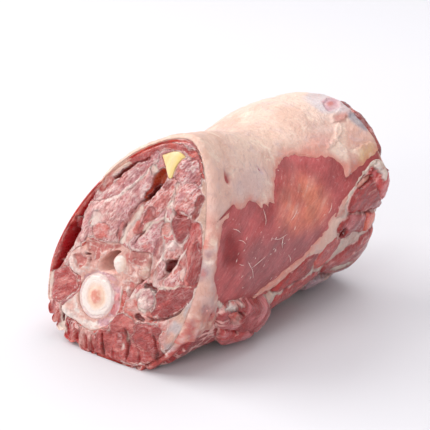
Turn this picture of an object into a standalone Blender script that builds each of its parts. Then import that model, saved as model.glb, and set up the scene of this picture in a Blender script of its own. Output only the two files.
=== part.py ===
"""Raw lamb neck joint on the bone, lying on its underside.

X runs across the cut face, Y along the neck away from that face, and Z up from the resting face.
Sizes are in millimetres and are turned into metres by place().
"""

import math
from collections import namedtuple

import bmesh
import bpy
from mathutils import Vector

OBJECT_NAME = "lamb_neck"
MM = 0.001
GAP = 0.3
OVERSHOOT = 5.0
BLOCK_REACH = 150.0
ORIGIN = Vector((-1.1, 71.95, 0.0))

# A station is one cross-section: where it stands along the neck, how far its top leans back for
# each millimetre of height, its crest, its widest points on the right and on the left, the middle
# of its underside, and how full its four quarters are (2 is an ellipse, more is squarer).
Station = namedtuple("Station", "y lean crest right left keel fullness")
FACE = Station(-3.0, 0.30, (20.0, 104.2), (42.2, 50.0), (-48.5, 32.0), (5.0, -1.5), (1.9, 1.6, 3.0, 2.2))
SHOULDER = Station(35.0, 0.20, (16.0, 97.2), (43.2, 50.0), (-50.0, 34.0), (2.0, -1.5), (1.9, 1.7, 3.0, 2.2))
WAIST = Station(75.0, 0.10, (8.0, 89.2), (44.2, 50.0), (-49.0, 38.0), (0.0, -1.5), (1.9, 1.8, 2.8, 2.1))
HAUNCH = Station(112.0, 0.05, (2.0, 92.2), (46.2, 54.0), (-49.0, 42.0), (0.0, -1.5), (1.9, 1.9, 2.6, 1.9))
REAR = Station(146.0, 0.0, (0.0, 90.7), (47.2, 58.0), (-46.0, 44.0), (0.0, -1.5), (2.0, 2.0, 2.5, 1.5))
STATIONS = (FACE, SHOULDER, WAIST, HAUNCH, REAR)
RINGS = 17
SPOKES = 60

FAT_RISE = 0.8
FAT_DEPTH = 2.2
FAT_PAD_DEPTH = 7.0
FAT_PAD_ANGLE = -35.0
FAT_PAD_SPREAD = 24.0
FAT_PAD_REACH = 20.0
EDGE_CLEARANCE = 0.6
FAT_SPOKES = 36
# Where the fat's two lower edges run, as angles round the neck at the five stations.
FAT_RIGHT_EDGE = (-57.0, -44.0, -28.0, -20.0, -12.0)
FAT_LEFT_EDGE = (137.0, 150.0, 160.0, 164.0, 160.0)

# Each window through the fat is an ellipse in side view: middle, half sizes and slope in degrees.
Window = namedtuple("Window", "side middle half slope")
WINDOWS = (
    Window(1, (43.0, 49.0), (22.0, 22.5), 0.0),
    Window(1, (39.0, 32.0), (15.0, 14.0), 0.0),
    Window(1, (88.0, 61.0), (28.0, 17.0), 8.0),
    Window(1, (70.0, 46.0), (27.0, 15.0), 18.0),
    Window(1, (134.0, 54.0), (16.0, 7.0), 14.0),
    Window(-1, (60.0, 58.0), (24.0, 15.0), -6.0),
    Window(-1, (104.0, 56.0), (25.0, 14.0), 8.0),
)
WINDOW_NEAR_X = 12.0
WINDOW_FAR_X = 70.0
WINDOW_SIDES = 28

# A rod is a run of bone along the neck: its middle and half sizes on the cut face, its slope, and
# how far its front end stands behind the cut face.
Rod = namedtuple("Rod", "middle half slope recess")
CENTRUM = Rod((-18.0, 23.5), (13.0, 12.5), 0.0, 2.4)
ARCH = Rod((-11.0, 43.0), (21.5, 7.0), 0.0, 1.2)
LEFT_PEDICLE = Rod((-24.0, 36.5), (5.0, 5.5), 0.0, 3.0)
BRIDGE = Rod((-12.0, 36.2), (11.0, 4.6), 0.0, 2.8)
LEFT_PROCESS = Rod((-30.6, 38.4), (6.8, 6.4), 0.0, 0.4)
RIGHT_PROCESS = Rod((5.0, 38.0), (8.5, 6.8), 50.0, 0.6)
KNOB = Rod((-6.3, 42.6), (4.6, 4.6), 0.0, -0.9)
BRANCHES = (
    ("arch", ARCH),
    ("left_pedicle", LEFT_PEDICLE),
    ("bridge", BRIDGE),
    ("left_process", LEFT_PROCESS),
    ("right_process", RIGHT_PROCESS),
    ("knob", KNOB),
)
CANAL = Rod((-13.2, 42.2), (6.6, 4.5), 12.0, 0.0)
DISC_HALF = (11.8, 11.4)
DISC_THICKNESS = 2.6
DISC_RISE = 0.6
ROD_SIDES = 32

LIGAMENT_OUTLINE = (
    (6.0, 93.5), (10.0, 96.0), (19.0, 95.2), (15.5, 90.5), (14.2, 85.2), (11.0, 84.4), (9.0, 89.0),
)

# A cleft is a slit that opens on the cut face: middle, half sizes, slope and depth.
Cleft = namedtuple("Cleft", "middle half slope depth")
CLEFTS = (
    Cleft((-38.6, 44.5), (15.5, 3.2), 64.0, 15.0),
    Cleft((5.2, 79.5), (8.0, 1.9), 62.0, 11.0),
    Cleft((22.6, 48.2), (4.2, 1.3), 55.0, 5.0),
)
CLEFT_SIDES = 24
CLEFT_FLOOR_SHARE = 0.45

MATERIALS = {
    "muscle": ((0.39, 0.095, 0.085, 1.0), 0.38),
    "fat_cap": ((0.67, 0.42, 0.33, 1.0), 0.42),
    "neck_bone": ((0.69, 0.39, 0.33, 1.0), 0.45),
    "spine_disc": ((0.86, 0.78, 0.70, 1.0), 0.25),
    "nuchal_ligament": ((0.83, 0.63, 0.26, 1.0), 0.35),
}


def clear_scene():
    for item in list(bpy.data.objects):
        bpy.data.objects.remove(item, do_unlink=True)


def new_collection(name):
    collection = bpy.data.collections.new(name)
    bpy.context.scene.collection.children.link(collection)
    return collection


def place(point):
    return (point - ORIGIN) * MM


def smooth_between(values, along):
    """A smooth curve through evenly spaced values, carried on straight past both ends."""
    last = len(values) - 1
    index = min(max(int(math.floor(along)), 0), last - 1)
    part = along - index
    before = values[index - 1] if index > 0 else 2 * values[index] - values[index + 1]
    after = values[index + 2] if index + 2 <= last else 2 * values[index + 1] - values[index]
    start, end = values[index], values[index + 1]
    if part < 0:
        return start + part * (end - start)
    if part > 1:
        return end + (part - 1) * (end - start)
    return 0.5 * (
        2 * start
        + (end - before) * part
        + (2 * before - 5 * start + 4 * end - after) * part**2
        + (3 * start - before - 3 * end + after) * part**3
    )


def station_at(along):
    """The cross-section at a place along the neck, counted in stations from the cut face."""
    def pick(read):
        return smooth_between([read(station) for station in STATIONS], along)

    def pair(name):
        return tuple(pick(lambda station, i=i: getattr(station, name)[i]) for i in range(2))

    return Station(
        pick(lambda station: station.y),
        pick(lambda station: station.lean),
        pair("crest"),
        pair("right"),
        pair("left"),
        pair("keel"),
        tuple(pick(lambda station, i=i: station.fullness[i]) for i in range(4)),
    )


def on_surface(station, degrees, growth=0.0):
    """The point of a cross-section at an angle, from its right through its crest, grown outwards."""
    angle = math.radians(degrees)
    across, up = math.cos(angle), math.sin(angle)
    middle = station.crest if up >= 0 else station.keel
    side = station.right if across >= 0 else station.left
    quarter = (0 if across >= 0 else 1) if up >= 0 else (3 if across >= 0 else 2)
    power = 2.0 / station.fullness[quarter]
    reach_x = abs(side[0] - middle[0]) + growth
    reach_z = abs(side[1] - middle[1]) + growth
    x = middle[0] + math.copysign(abs(across) ** power, across) * reach_x
    z = max(side[1] + math.copysign(abs(up) ** power, up) * reach_z, 0.0)
    return Vector((x, station.y + station.lean * z, z))


def new_object(name, mesh_data, collection):
    mesh = bpy.data.meshes.new(name)
    bmesh.ops.recalc_face_normals(mesh_data, faces=mesh_data.faces)
    mesh_data.to_mesh(mesh)
    mesh_data.free()
    item = bpy.data.objects.new(name, mesh)
    collection.objects.link(item)
    return item


def loft(name, rings, collection):
    """A closed solid through rings of equally many points, with a flat cap on each end."""
    mesh_data = bmesh.new()
    loops = [[mesh_data.verts.new(place(point)) for point in ring] for ring in rings]
    count = len(rings[0])
    for near, far in zip(loops, loops[1:]):
        for i in range(count):
            j = (i + 1) % count
            mesh_data.faces.new((near[i], near[j], far[j], far[i]))
    mesh_data.faces.new(loops[0])
    mesh_data.faces.new(loops[-1])
    return new_object(name, mesh_data, collection)


def sheet(name, outer, inner, collection):
    """A closed sheet between two grids of points, shut along its four edges."""
    rows = [top + list(reversed(bottom)) for top, bottom in zip(outer, inner)]
    return loft(name, rows, collection)


def make_cutter(item):
    item.hide_render = True
    item.display_type = "WIRE"
    return item


def combine(item, other, operation):
    modifier = item.modifiers.new(f"{operation.lower()} {other.name}", "BOOLEAN")
    modifier.operation = operation
    modifier.solver = "EXACT"
    modifier.object = other


def ellipse(middle, half, slope, sides):
    """Points (x, z) round an ellipse that is turned by its slope."""
    turn = math.radians(slope)
    points = []
    for i in range(sides):
        angle = 2 * math.pi * i / sides
        a, b = half[0] * math.cos(angle), half[1] * math.sin(angle)
        x = middle[0] + a * math.cos(turn) - b * math.sin(turn)
        z = middle[1] + a * math.sin(turn) + b * math.cos(turn)
        points.append((x, z))
    return points


def shift_ends(rings, extra):
    """Carries the first and the last ring straight on past the ends of the neck."""
    for ring, inward in ((rings[0], rings[1]), (rings[-1], rings[-2])):
        for point, neighbour in zip(ring, inward):
            step = point - neighbour
            point += step * (extra / abs(step.y))


def on_face(x, z, behind=0.0):
    return Vector((x, FACE.y + FACE.lean * z + behind, z))


def on_rear(x, z, before=0.0):
    return Vector((x, REAR.y - before, z))


def bone_rod(name, rod, collection, growth=0.0, extra=0.0):
    """One run of bone from the cut face to the rear, grown sideways and carried on at both ends."""
    half = (rod.half[0] + growth, rod.half[1] + growth)
    outline = ellipse(rod.middle, half, rod.slope, ROD_SIDES)
    front = [on_face(x, z, rod.recess) for x, z in outline]
    rear = [on_rear(x, z, rod.recess) for x, z in outline]
    if extra:
        steps = [(b - a).normalized() * extra for a, b in zip(front, rear)]
        front = [point - step for point, step in zip(front, steps)]
        rear = [point + step for point, step in zip(rear, steps)]
    return loft(name, (front, rear), collection)


def joined_bone(name, collection, cutters, growth=0.0, extra=0.0):
    """The bone's round body with its arch, processes and knob, as one solid."""
    bone = bone_rod(name, CENTRUM, collection, growth, extra)
    for label, rod in BRANCHES:
        branch = bone_rod(f"{name}_{label}", rod, cutters, growth, extra)
        combine(bone, make_cutter(branch), "UNION")
    return bone


def add_bone(parts, cutters):
    bone = joined_bone("neck_bone", parts, cutters)
    canal = bone_rod("canal", CANAL, cutters, extra=OVERSHOOT)
    combine(bone, make_cutter(canal), "DIFFERENCE")
    return bone


def add_discs(parts):
    """The gristle pads on the two ends of the bone's round body."""
    outline = ellipse(CENTRUM.middle, DISC_HALF, CENTRUM.slope, ROD_SIDES)
    deep = DISC_THICKNESS - DISC_RISE
    ends = (("spine_disc_front", on_face), ("spine_disc_rear", on_rear))
    return [
        loft(name, ([at(x, z, -DISC_RISE) for x, z in outline], [at(x, z, deep) for x, z in outline]), parts)
        for name, at in ends
    ]


def ligament_rings(growth, extra):
    """The ligament's outline carried along the neck at the same depth under its crest."""
    middle = Vector((sum(x for x, z in LIGAMENT_OUTLINE), 0.0, sum(z for x, z in LIGAMENT_OUTLINE)))
    middle /= len(LIGAMENT_OUTLINE)
    rings = []
    for i in range(RINGS):
        station = station_at(i * (len(STATIONS) - 1) / (RINGS - 1))
        shift = Vector((station.crest[0] - FACE.crest[0], 0.0, station.crest[1] - FACE.crest[1]))
        ring = []
        for x, z in LIGAMENT_OUTLINE:
            point = Vector((x, 0.0, z))
            point += (point - middle).normalized() * growth + shift
            point.y = station.y + station.lean * point.z
            ring.append(point)
        rings.append(ring)
    shift_ends(rings, extra)
    return rings


def fat_depth(along, degrees):
    """How thick the fat lies: a thin layer, with a pad low on the right by the cut face."""
    behind_face = station_at(along).y - FACE.y
    round_pad = math.exp(-(((degrees - FAT_PAD_ANGLE) / FAT_PAD_SPREAD) ** 2))
    return FAT_DEPTH + FAT_PAD_DEPTH * round_pad * math.exp(-((behind_face / FAT_PAD_REACH) ** 2))


def fat_grids(widen, rise, deepen, extra):
    """The outer and inner points of the fat, grown for its recess in the muscle."""
    last = len(STATIONS) - 1
    outer, inner = [], []
    for i in range(RINGS):
        along = i * last / (RINGS - 1)
        station = station_at(along)
        low = smooth_between(FAT_RIGHT_EDGE, along) - widen
        high = smooth_between(FAT_LEFT_EDGE, along) + widen
        angles = [low + (high - low) * k / FAT_SPOKES for k in range(FAT_SPOKES + 1)]
        outer.append([on_surface(station, angle, rise) for angle in angles])
        inner.append([on_surface(station, angle, -fat_depth(along, angle) - deepen) for angle in angles])
    shift_ends(outer, extra)
    shift_ends(inner, extra)
    return outer, inner


def window_prism(name, window, shrink, collection):
    half = (window.half[0] - shrink, window.half[1] - shrink)
    outline = ellipse(window.middle, half, window.slope, WINDOW_SIDES)
    near = [Vector((window.side * WINDOW_NEAR_X, y, z)) for y, z in outline]
    far = [Vector((window.side * WINDOW_FAR_X, y, z)) for y, z in outline]
    return make_cutter(loft(name, (near, far), collection))


def add_fat(parts, cutters):
    """The fat with its windows, and the recess that it lies in."""
    fat = sheet("fat_cap", *fat_grids(0.0, FAT_RISE, 0.0, 0.0), parts)
    recess = make_cutter(sheet("fat_recess", *fat_grids(EDGE_CLEARANCE, OVERSHOOT, GAP, OVERSHOOT), cutters))
    for i, window in enumerate(WINDOWS):
        combine(fat, window_prism(f"window_{i}", window, 0.0, cutters), "DIFFERENCE")
        combine(recess, window_prism(f"window_core_{i}", window, GAP, cutters), "DIFFERENCE")
    return fat, recess


def cleft_cutter(name, cleft, collection):
    """A slit that narrows to its floor."""
    mouth = ellipse(cleft.middle, cleft.half, cleft.slope, CLEFT_SIDES)
    floor_half = (cleft.half[0] * CLEFT_FLOOR_SHARE, cleft.half[1] * CLEFT_FLOOR_SHARE)
    floor = ellipse(cleft.middle, floor_half, cleft.slope, CLEFT_SIDES)
    rings = (
        [on_face(x, z, -OVERSHOOT) for x, z in mouth],
        [on_face(x, z, cleft.depth) for x, z in floor],
    )
    return make_cutter(loft(name, rings, collection))


def trim_blocks(collection):
    """One block in front of the leaning cut face and one behind the upright rear face."""
    signs = ((-1, -1), (1, -1), (1, 1), (-1, 1))
    corners = [(x * BLOCK_REACH, z * BLOCK_REACH) for x, z in signs]
    front = ([on_face(x, z, -BLOCK_REACH) for x, z in corners], [on_face(x, z) for x, z in corners])
    rear = [[Vector((x, y, z)) for x, z in corners] for y in (REAR.y, REAR.y + BLOCK_REACH)]
    blocks = (("front_block", front), ("rear_block", rear))
    return [make_cutter(loft(name, rings, collection)) for name, rings in blocks]


def add_muscle(parts, cutters, fat_recess):
    last = len(STATIONS) - 1
    rings = []
    for i in range(RINGS):
        station = station_at(i * last / (RINGS - 1))
        rings.append([on_surface(station, 360.0 * k / SPOKES) for k in range(SPOKES)])
    shift_ends(rings, OVERSHOOT / 2)
    muscle = loft("muscle", rings, parts)
    bone_channel = joined_bone("bone_channel", cutters, cutters, growth=GAP, extra=OVERSHOOT)
    combine(muscle, make_cutter(bone_channel), "DIFFERENCE")
    ligament_channel = loft("ligament_channel", ligament_rings(GAP * 1.4, OVERSHOOT), cutters)
    combine(muscle, make_cutter(ligament_channel), "DIFFERENCE")
    for i, cleft in enumerate(CLEFTS):
        combine(muscle, cleft_cutter(f"cleft_{i}", cleft, cutters), "DIFFERENCE")
    combine(muscle, fat_recess, "DIFFERENCE")
    for block in trim_blocks(cutters):
        combine(muscle, block, "DIFFERENCE")
    return muscle


def add_material(item, name):
    colour, roughness = MATERIALS[name]
    material = bpy.data.materials.get(name) or bpy.data.materials.new(name)
    material.use_nodes = True
    shader = material.node_tree.nodes["Principled BSDF"]
    shader.inputs["Base Color"].default_value = colour
    shader.inputs["Roughness"].default_value = roughness
    shader.inputs["Metallic"].default_value = 0.0
    item.data.materials.append(material)
    item.data.shade_smooth()
    item.data.set_sharp_from_angle(angle=math.radians(35))


def main():
    clear_scene()
    parts = new_collection(OBJECT_NAME)
    cutters = new_collection("cutters")
    fat, fat_recess = add_fat(parts, cutters)
    add_material(fat, "fat_cap")
    add_material(add_muscle(parts, cutters, fat_recess), "muscle")
    add_material(add_bone(parts, cutters), "neck_bone")
    for disc in add_discs(parts):
        add_material(disc, "spine_disc")
    add_material(loft("nuchal_ligament", ligament_rings(0.0, 0.0), parts), "nuchal_ligament")


main()
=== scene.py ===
import math
from collections import namedtuple

import bpy
import numpy as np
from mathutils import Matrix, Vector
from mathutils.geometry import delaunay_2d_cdt


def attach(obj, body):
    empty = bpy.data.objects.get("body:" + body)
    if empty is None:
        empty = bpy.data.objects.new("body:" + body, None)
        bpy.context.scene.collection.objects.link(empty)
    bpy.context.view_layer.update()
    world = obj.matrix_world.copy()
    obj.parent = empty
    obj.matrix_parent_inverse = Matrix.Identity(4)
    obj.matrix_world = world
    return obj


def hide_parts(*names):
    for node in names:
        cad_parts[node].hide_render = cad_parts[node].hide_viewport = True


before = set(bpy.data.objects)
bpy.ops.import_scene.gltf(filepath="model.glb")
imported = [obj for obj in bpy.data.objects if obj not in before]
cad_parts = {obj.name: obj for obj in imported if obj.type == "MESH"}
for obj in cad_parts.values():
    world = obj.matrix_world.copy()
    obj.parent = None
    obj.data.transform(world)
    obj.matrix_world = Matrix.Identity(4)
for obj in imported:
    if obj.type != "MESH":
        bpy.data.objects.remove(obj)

bl_info = {
    "name": "Raw lamb neck",
    "version": (1, 0, 0),
    "blender": (4, 5, 0),
    "location": "View3D > Sidebar > Lamb neck",
    "description": "Builds the cut faces, flanks, fat, bone and studio of a raw lamb neck joint",
    "category": "Object",
}

MM = 0.001
ORIGIN = np.array((-1.1, 71.95, 0.0))

# One cross-section a row: y, lean, crest x z, right x z, left x z, keel x z, and the fullness of
# the upper right, upper left, lower left and lower right quarters. All lengths are millimetres.
STATIONS = np.array(
    (
        (-3.0, 0.30, 20.0, 104.2, 42.2, 50.0, -48.5, 32.0, 5.0, -1.5, 1.9, 1.6, 3.0, 2.2),
        (35.0, 0.20, 16.0, 97.2, 43.2, 50.0, -50.0, 34.0, 2.0, -1.5, 1.9, 1.7, 3.0, 2.2),
        (75.0, 0.10, 8.0, 89.2, 44.2, 50.0, -49.0, 38.0, 0.0, -1.5, 1.9, 1.8, 2.8, 2.1),
        (112.0, 0.05, 2.0, 92.2, 46.2, 54.0, -49.0, 42.0, 0.0, -1.5, 1.9, 1.9, 2.6, 1.9),
        (146.0, 0.0, 0.0, 90.7, 47.2, 58.0, -46.0, 44.0, 0.0, -1.5, 2.0, 2.0, 2.5, 1.5),
    )
)
LAST = len(STATIONS) - 1
FACE_Y = -3.0
FACE_LEAN = 0.30
REAR_Y = 146.0

# Lip of skin and fat round each cut face: angle, width on the face, radius of the rounded edge.
LIP_ANGLES = (-90.0, -50.0, -20.0, 20.0, 50.0, 80.0, 110.0, 140.0, 180.0, 225.0, 270.0)
LIP_WIDTHS = (2.0, 3.2, 3.2, 3.0, 2.4, 2.6, 1.9, 1.7, 1.8, 1.9, 2.0)
EDGE_RADII = (2.6, 4.0, 4.6, 4.4, 3.2, 2.2, 1.4, 1.3, 1.4, 2.0, 2.6)
FAT_RIGHT_EDGE = (-36.0, -24.0, -22.0, -16.0, -8.0)
FAT_LEFT_EDGE = (137.0, 150.0, 160.0, 164.0, 160.0)


def linear(red, green, blue):
    """A colour given as it looks on a screen, turned into the shader's linear values."""
    shares = (np.array((red, green, blue)) / 255.0).tolist()
    return tuple(s / 12.92 if s <= 0.04045 else ((s + 0.055) / 1.055) ** 2.4 for s in shares)


def colour(name, description, shown):
    return bpy.props.FloatVectorProperty(
        name=name,
        description=description,
        default=linear(*shown),
        size=3,
        min=0.0,
        max=1.0,
        subtype="COLOR",
    )


def length(name, description, default):
    return bpy.props.FloatProperty(
        name=name, description=description, default=default, min=0.0, unit="LENGTH", precision=5
    )


class LambNeckColours(bpy.types.PropertyGroup):
    pale: colour("Pale muscle", "Large pale cut muscles", (228, 160, 154))
    mauve: colour("Mauve muscle", "Purple grey cut muscles", (202, 129, 132))
    pink: colour("Pink muscle", "Pink cut muscles", (216, 118, 109))
    red: colour("Red muscle", "Red cut muscles", (178, 50, 44))
    # Deep is the colour of the dark muscles, and it is also painted into creases and pits as painted shade.
    deep: colour("Deep muscle", "Deep red brown muscles", (150, 31, 29))
    salmon: colour("Salmon muscle", "Orange red muscle edges", (210, 82, 64))
    maroon: colour("Pocket", "Wet dark red inside pockets", (186, 12, 26))
    slot: colour("Slot", "Orange red wall of the slot below the ligament", (196, 84, 44))
    # Gap is painted shade: a dark red-brown laid into the hollows, grooves, notches and creases between
    # muscles and in the bone.
    gap: colour("Gap", "Dark gaps between muscles", (120, 30, 22))
    cream: colour("Cream fat", "Cream fat and seams", (234, 209, 193))
    rim: colour("Rim fat", "Pink grey skin side fat", (216, 170, 155))
    tan: colour("Tan fat", "Tan fat pads", (222, 188, 168))
    blue: colour("Membrane", "Blue grey membrane", (196, 186, 190))
    fascia: colour("Fascia", "White connective tissue", (248, 224, 214))
    orange: colour("Thin cover", "Orange muscle under a thin clear cover", (224, 132, 106))
    bone: colour("Bone", "Cream bone", (208, 162, 149))
    marrow: colour("Marrow", "Red marrow and cut bone", (178, 92, 84))
    arch: colour("Arch", "Pink cut arch of the bone", (174, 98, 90))
    canal: colour("Canal", "Wall of the spinal canal", (250, 205, 192))
    cartilage: colour("Cartilage", "Bright white cartilage", (222, 208, 200))
    halo: colour("Halo", "Peach ring in the disc", (222, 186, 164))
    core: colour("Core", "Salmon core of the disc", (204, 130, 112))
    # Lilac is a tissue colour, and it is also painted as shade in the crescent round the disc and in the
    # fat's wrinkle creases.
    lilac: colour("Lilac", "Lilac tissue round the disc", (196, 152, 160))
    gold: colour("Gold", "Left side of the ligament", (236, 200, 140))
    yellow: colour("Yellow", "Middle of the ligament", (238, 206, 150))
    olive: colour("Olive", "Right side of the ligament", (224, 198, 118))
    cloud: colour("Cloud", "Grey patch in the fat at the rear", (142, 142, 156))
    floor: colour("Floor", "Studio floor", (214, 213, 217))


class LambNeckSizes(bpy.types.PropertyGroup):
    muscle_bulge: length("Muscle bulge", "How far cut muscles swell out of their seams", 0.0009)
    fat_rise: length("Fat rise", "How far the fat stands above the muscle", 0.0011)
    fat_lump: length("Fat lumps", "Height of the soft lumps in the fat", 0.0009)
    flank_lump: length("Flank lumps", "Height of the soft lumps in the flanks", 0.0008)
    fleck_size: length("Fleck size", "Length of a pale fleck", 0.0010)
    fleck_density: bpy.props.FloatProperty(
        name="Fleck density", description="Flecks on each square metre", default=21000.0, min=0.0
    )
    strand_width: length("Strand width", "Thickness of the white strands", 0.00016)
    floor_reach: length("Floor reach", "Half the width of the floor", 6.0)


def colours():
    return bpy.context.scene.lamb_neck_colours


def sizes():
    return bpy.context.scene.lamb_neck_sizes


def tone(name):
    return np.array(getattr(colours(), name))


# ---------------------------------------------------------------- shape helpers


def smooth(low, high, value):
    """Rises softly from 0 at low to 1 at high, or falls where low is the larger."""
    share = np.clip((value - low) / (high - low), 0.0, 1.0)
    return share * share * (3.0 - 2.0 * share)


def mix(start, end, share):
    return start + (end - start) * share


def tint(tones, name, share, strength=1.0):
    """Mixes a named colour into the tones, by each place's share."""
    return mix(tones, tone(name) * strength, share[:, None])


def mottle(first, second, share):
    """A colour for each place, between two named ones."""
    return mix(tone(first), tone(second), share[:, None])


def turned(places, angle):
    """Places measured along and across a direction."""
    x, z = places[:, 0], places[:, 1]
    return np.column_stack((x * np.cos(angle) + z * np.sin(angle), z * np.cos(angle) - x * np.sin(angle)))


def upright(places, depth):
    """Places on a cut as points in space, all at one depth."""
    return np.column_stack((places[:, 0], np.full(len(places), depth), places[:, 1]))


def noise(points, size, seed):
    """Smooth lumps from -1 to 1. Size is in millimetres, one number or one for each axis."""
    scaled = points / np.array(size, dtype=float) + seed * 19.37
    cell = np.floor(scaled).astype(np.int64)
    part = scaled - cell
    part = part * part * (3.0 - 2.0 * part)
    total = np.zeros(len(points))
    for corner in range(8):
        offset = np.array((corner & 1, (corner >> 1) & 1, corner >> 2))
        at = cell + offset
        mixed = at[:, 0] * 374761393 + at[:, 1] * 668265263 + at[:, 2] * 1440662683 + seed * 974634777
        mixed = (mixed ^ (mixed >> 13)) * 1274126177
        mixed = mixed ^ (mixed >> 16)
        value = (mixed & 0xFFFFFF) / 8388607.5 - 1.0
        weight = np.prod(np.where(offset, part, 1.0 - part), axis=1)
        total += value * weight
    return total


def wander(points, size, seed):
    """A drift in two directions at each point, from -1 to 1."""
    return np.column_stack((noise(points, size, seed), noise(points, size, seed + 1)))


def layered(points, size, seed, layers=3):
    """Lumps of several sizes on top of each other."""
    total = np.zeros(len(points))
    size = np.array(size, dtype=float)
    for layer in range(layers):
        total += noise(points, size / 2.0**layer, seed + 7 * layer) / 2.0**layer
    return total / 1.6


def ridged(points, size, seed, layers=2):
    """Sharp folds from 0 in the creases to 1 on the crests."""
    total = np.zeros(len(points))
    size = np.array(size, dtype=float)
    for layer in range(layers):
        total += (1.0 - 2.0 * np.abs(noise(points, size / 2.0**layer, seed + 5 * layer))) / 2.0**layer
    return np.clip(0.5 + 0.5 * total / 1.5, 0.0, 1.0)


def station_at(along):
    """The cross-section figures at each place from 0, the cut face, to 4, the rear face."""
    index = np.clip(np.floor(along).astype(int), 0, LAST - 1)
    part = (along - index)[..., None]
    start = STATIONS[index]
    end = STATIONS[index + 1]
    before = np.where((index > 0)[..., None], STATIONS[np.maximum(index - 1, 0)], 2 * start - end)
    after = np.where((index < LAST - 1)[..., None], STATIONS[np.minimum(index + 2, LAST)], 2 * end - start)
    curved = 0.5 * (
        2 * start
        + (end - before) * part
        + (2 * before - 5 * start + 4 * end - after) * part**2
        + (3 * start - before - 3 * end + after) * part**3
    )
    return curved


def surface(along, degrees, growth):
    """Points on the neck's outside at each place and angle, grown outwards by some millimetres."""
    row = station_at(along)
    angle = np.radians(degrees)
    across = np.cos(angle)
    up = np.sin(angle)
    right = across >= 0
    above = up >= 0
    middle_x = np.where(above, row[..., 2], row[..., 8])
    side_x = np.where(right, row[..., 4], row[..., 6])
    side_z = np.where(right, row[..., 5], row[..., 7])
    middle_z = np.where(above, row[..., 3], row[..., 9])
    upper = np.where(right, row[..., 10], row[..., 11])
    lower = np.where(right, row[..., 13], row[..., 12])
    power = 2.0 / np.where(above, upper, lower)
    x = middle_x + np.sign(across) * np.abs(across) ** power * (np.abs(side_x - middle_x) + growth)
    z = side_z + np.sign(up) * np.abs(up) ** power * (np.abs(middle_z - side_z) + growth)
    z = np.maximum(z, 0.0)
    y = row[..., 0] + row[..., 1] * z
    return np.stack((x, y, z), axis=-1)


def even_angles(count, start=-90.0, end=270.0):
    """Angles that step round the neck by equal lengths, whatever the shape of the quarter."""
    dense = np.linspace(start, end, 6001)
    steps = np.zeros(len(dense) - 1)
    for along in (0.0, 1.0, 2.0, 3.0, 4.0):
        ring = surface(np.full(len(dense), along), dense, 0.0)
        steps += np.linalg.norm(np.diff(ring, axis=0), axis=1)
    run = np.concatenate(((0.0,), np.cumsum(steps)))
    return np.interp(np.linspace(0.0, run[-1], count), run, dense)


def in_pairs(numbers):
    """Points from a plain row of numbers, two for each point. What is rows of points already stays."""
    numbers = np.array(numbers, dtype=float)
    return numbers.reshape(-1, 2) if numbers.ndim == 1 else numbers


def closed_curve(points, pieces=4):
    """A smooth closed line through the given points."""
    points = in_pairs(points)
    before = np.roll(points, 1, axis=0)
    after = np.roll(points, -1, axis=0)
    beyond = np.roll(points, -2, axis=0)
    line = []
    for step in range(pieces):
        part = step / pieces
        line.append(
            0.5
            * (
                2 * points
                + (after - before) * part
                + (2 * before - 5 * points + 4 * after - beyond) * part**2
                + (3 * points - before - 3 * after + beyond) * part**3
            )
        )
    return np.stack(line, axis=1).reshape(-1, 2)


def open_curve(points, count):
    """A smooth open line through the given points, with evenly numbered steps."""
    points = in_pairs(points)
    last = len(points) - 1
    place = np.linspace(0.0, last, count)
    index = np.clip(np.floor(place).astype(int), 0, last - 1)
    part = (place - index)[:, None]
    start = points[index]
    end = points[index + 1]
    before = points[np.maximum(index - 1, 0)]
    after = points[np.minimum(index + 2, last)]
    return 0.5 * (
        2 * start
        + (end - before) * part
        + (2 * before - 5 * start + 4 * end - after) * part**2
        + (3 * start - before - 3 * end + after) * part**3
    )


def inside_distance(points, outline, reach=8.0):
    """Distance in millimetres from each point to the outline, above zero inside it."""
    result = np.full(len(points), -reach)
    low = outline.min(axis=0) - reach
    high = outline.max(axis=0) + reach
    near = np.all((points > low) & (points < high), axis=1)
    px = points[near, 0]
    py = points[near, 1]
    best = np.full(len(px), reach * reach)
    inside = np.zeros(len(px), dtype=bool)
    ends = np.roll(outline, -1, axis=0)
    for (ax, ay), (bx, by) in zip(outline, ends):
        dx = bx - ax
        dy = by - ay
        along = np.clip(((px - ax) * dx + (py - ay) * dy) / (dx * dx + dy * dy + 1e-12), 0.0, 1.0)
        best = np.minimum(best, (px - ax - along * dx) ** 2 + (py - ay - along * dy) ** 2)
        crosses = (ay > py) != (by > py)
        if dy != 0.0:
            inside ^= crosses & (px < (py - ay) * dx / dy + ax)
    result[near] = np.where(inside, np.sqrt(best), -np.sqrt(best))
    return result


def oval(middle, half, slope=0.0, sides=28):
    angle = np.linspace(0.0, 2.0 * math.pi, sides, endpoint=False)
    x = np.cos(angle) * half[0]
    z = np.sin(angle) * half[1]
    cos, sin = math.cos(math.radians(slope)), math.sin(math.radians(slope))
    return np.stack((middle[0] + x * cos - z * sin, middle[1] + x * sin + z * cos), axis=1)


# ---------------------------------------------------------------- the map of the cut face

# A region of a cut: its tissue, a second tissue mottled into it, grain direction in degrees, how
# far it swells, the level it stands at, and its outline: x, z, x, z and so on, in millimetres.
Region = namedtuple("Region", "tissue second grain bulge level outline")

# Regions of gap tissue sit below the face, and their dark red-brown is painted shade in those hollows.
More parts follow.
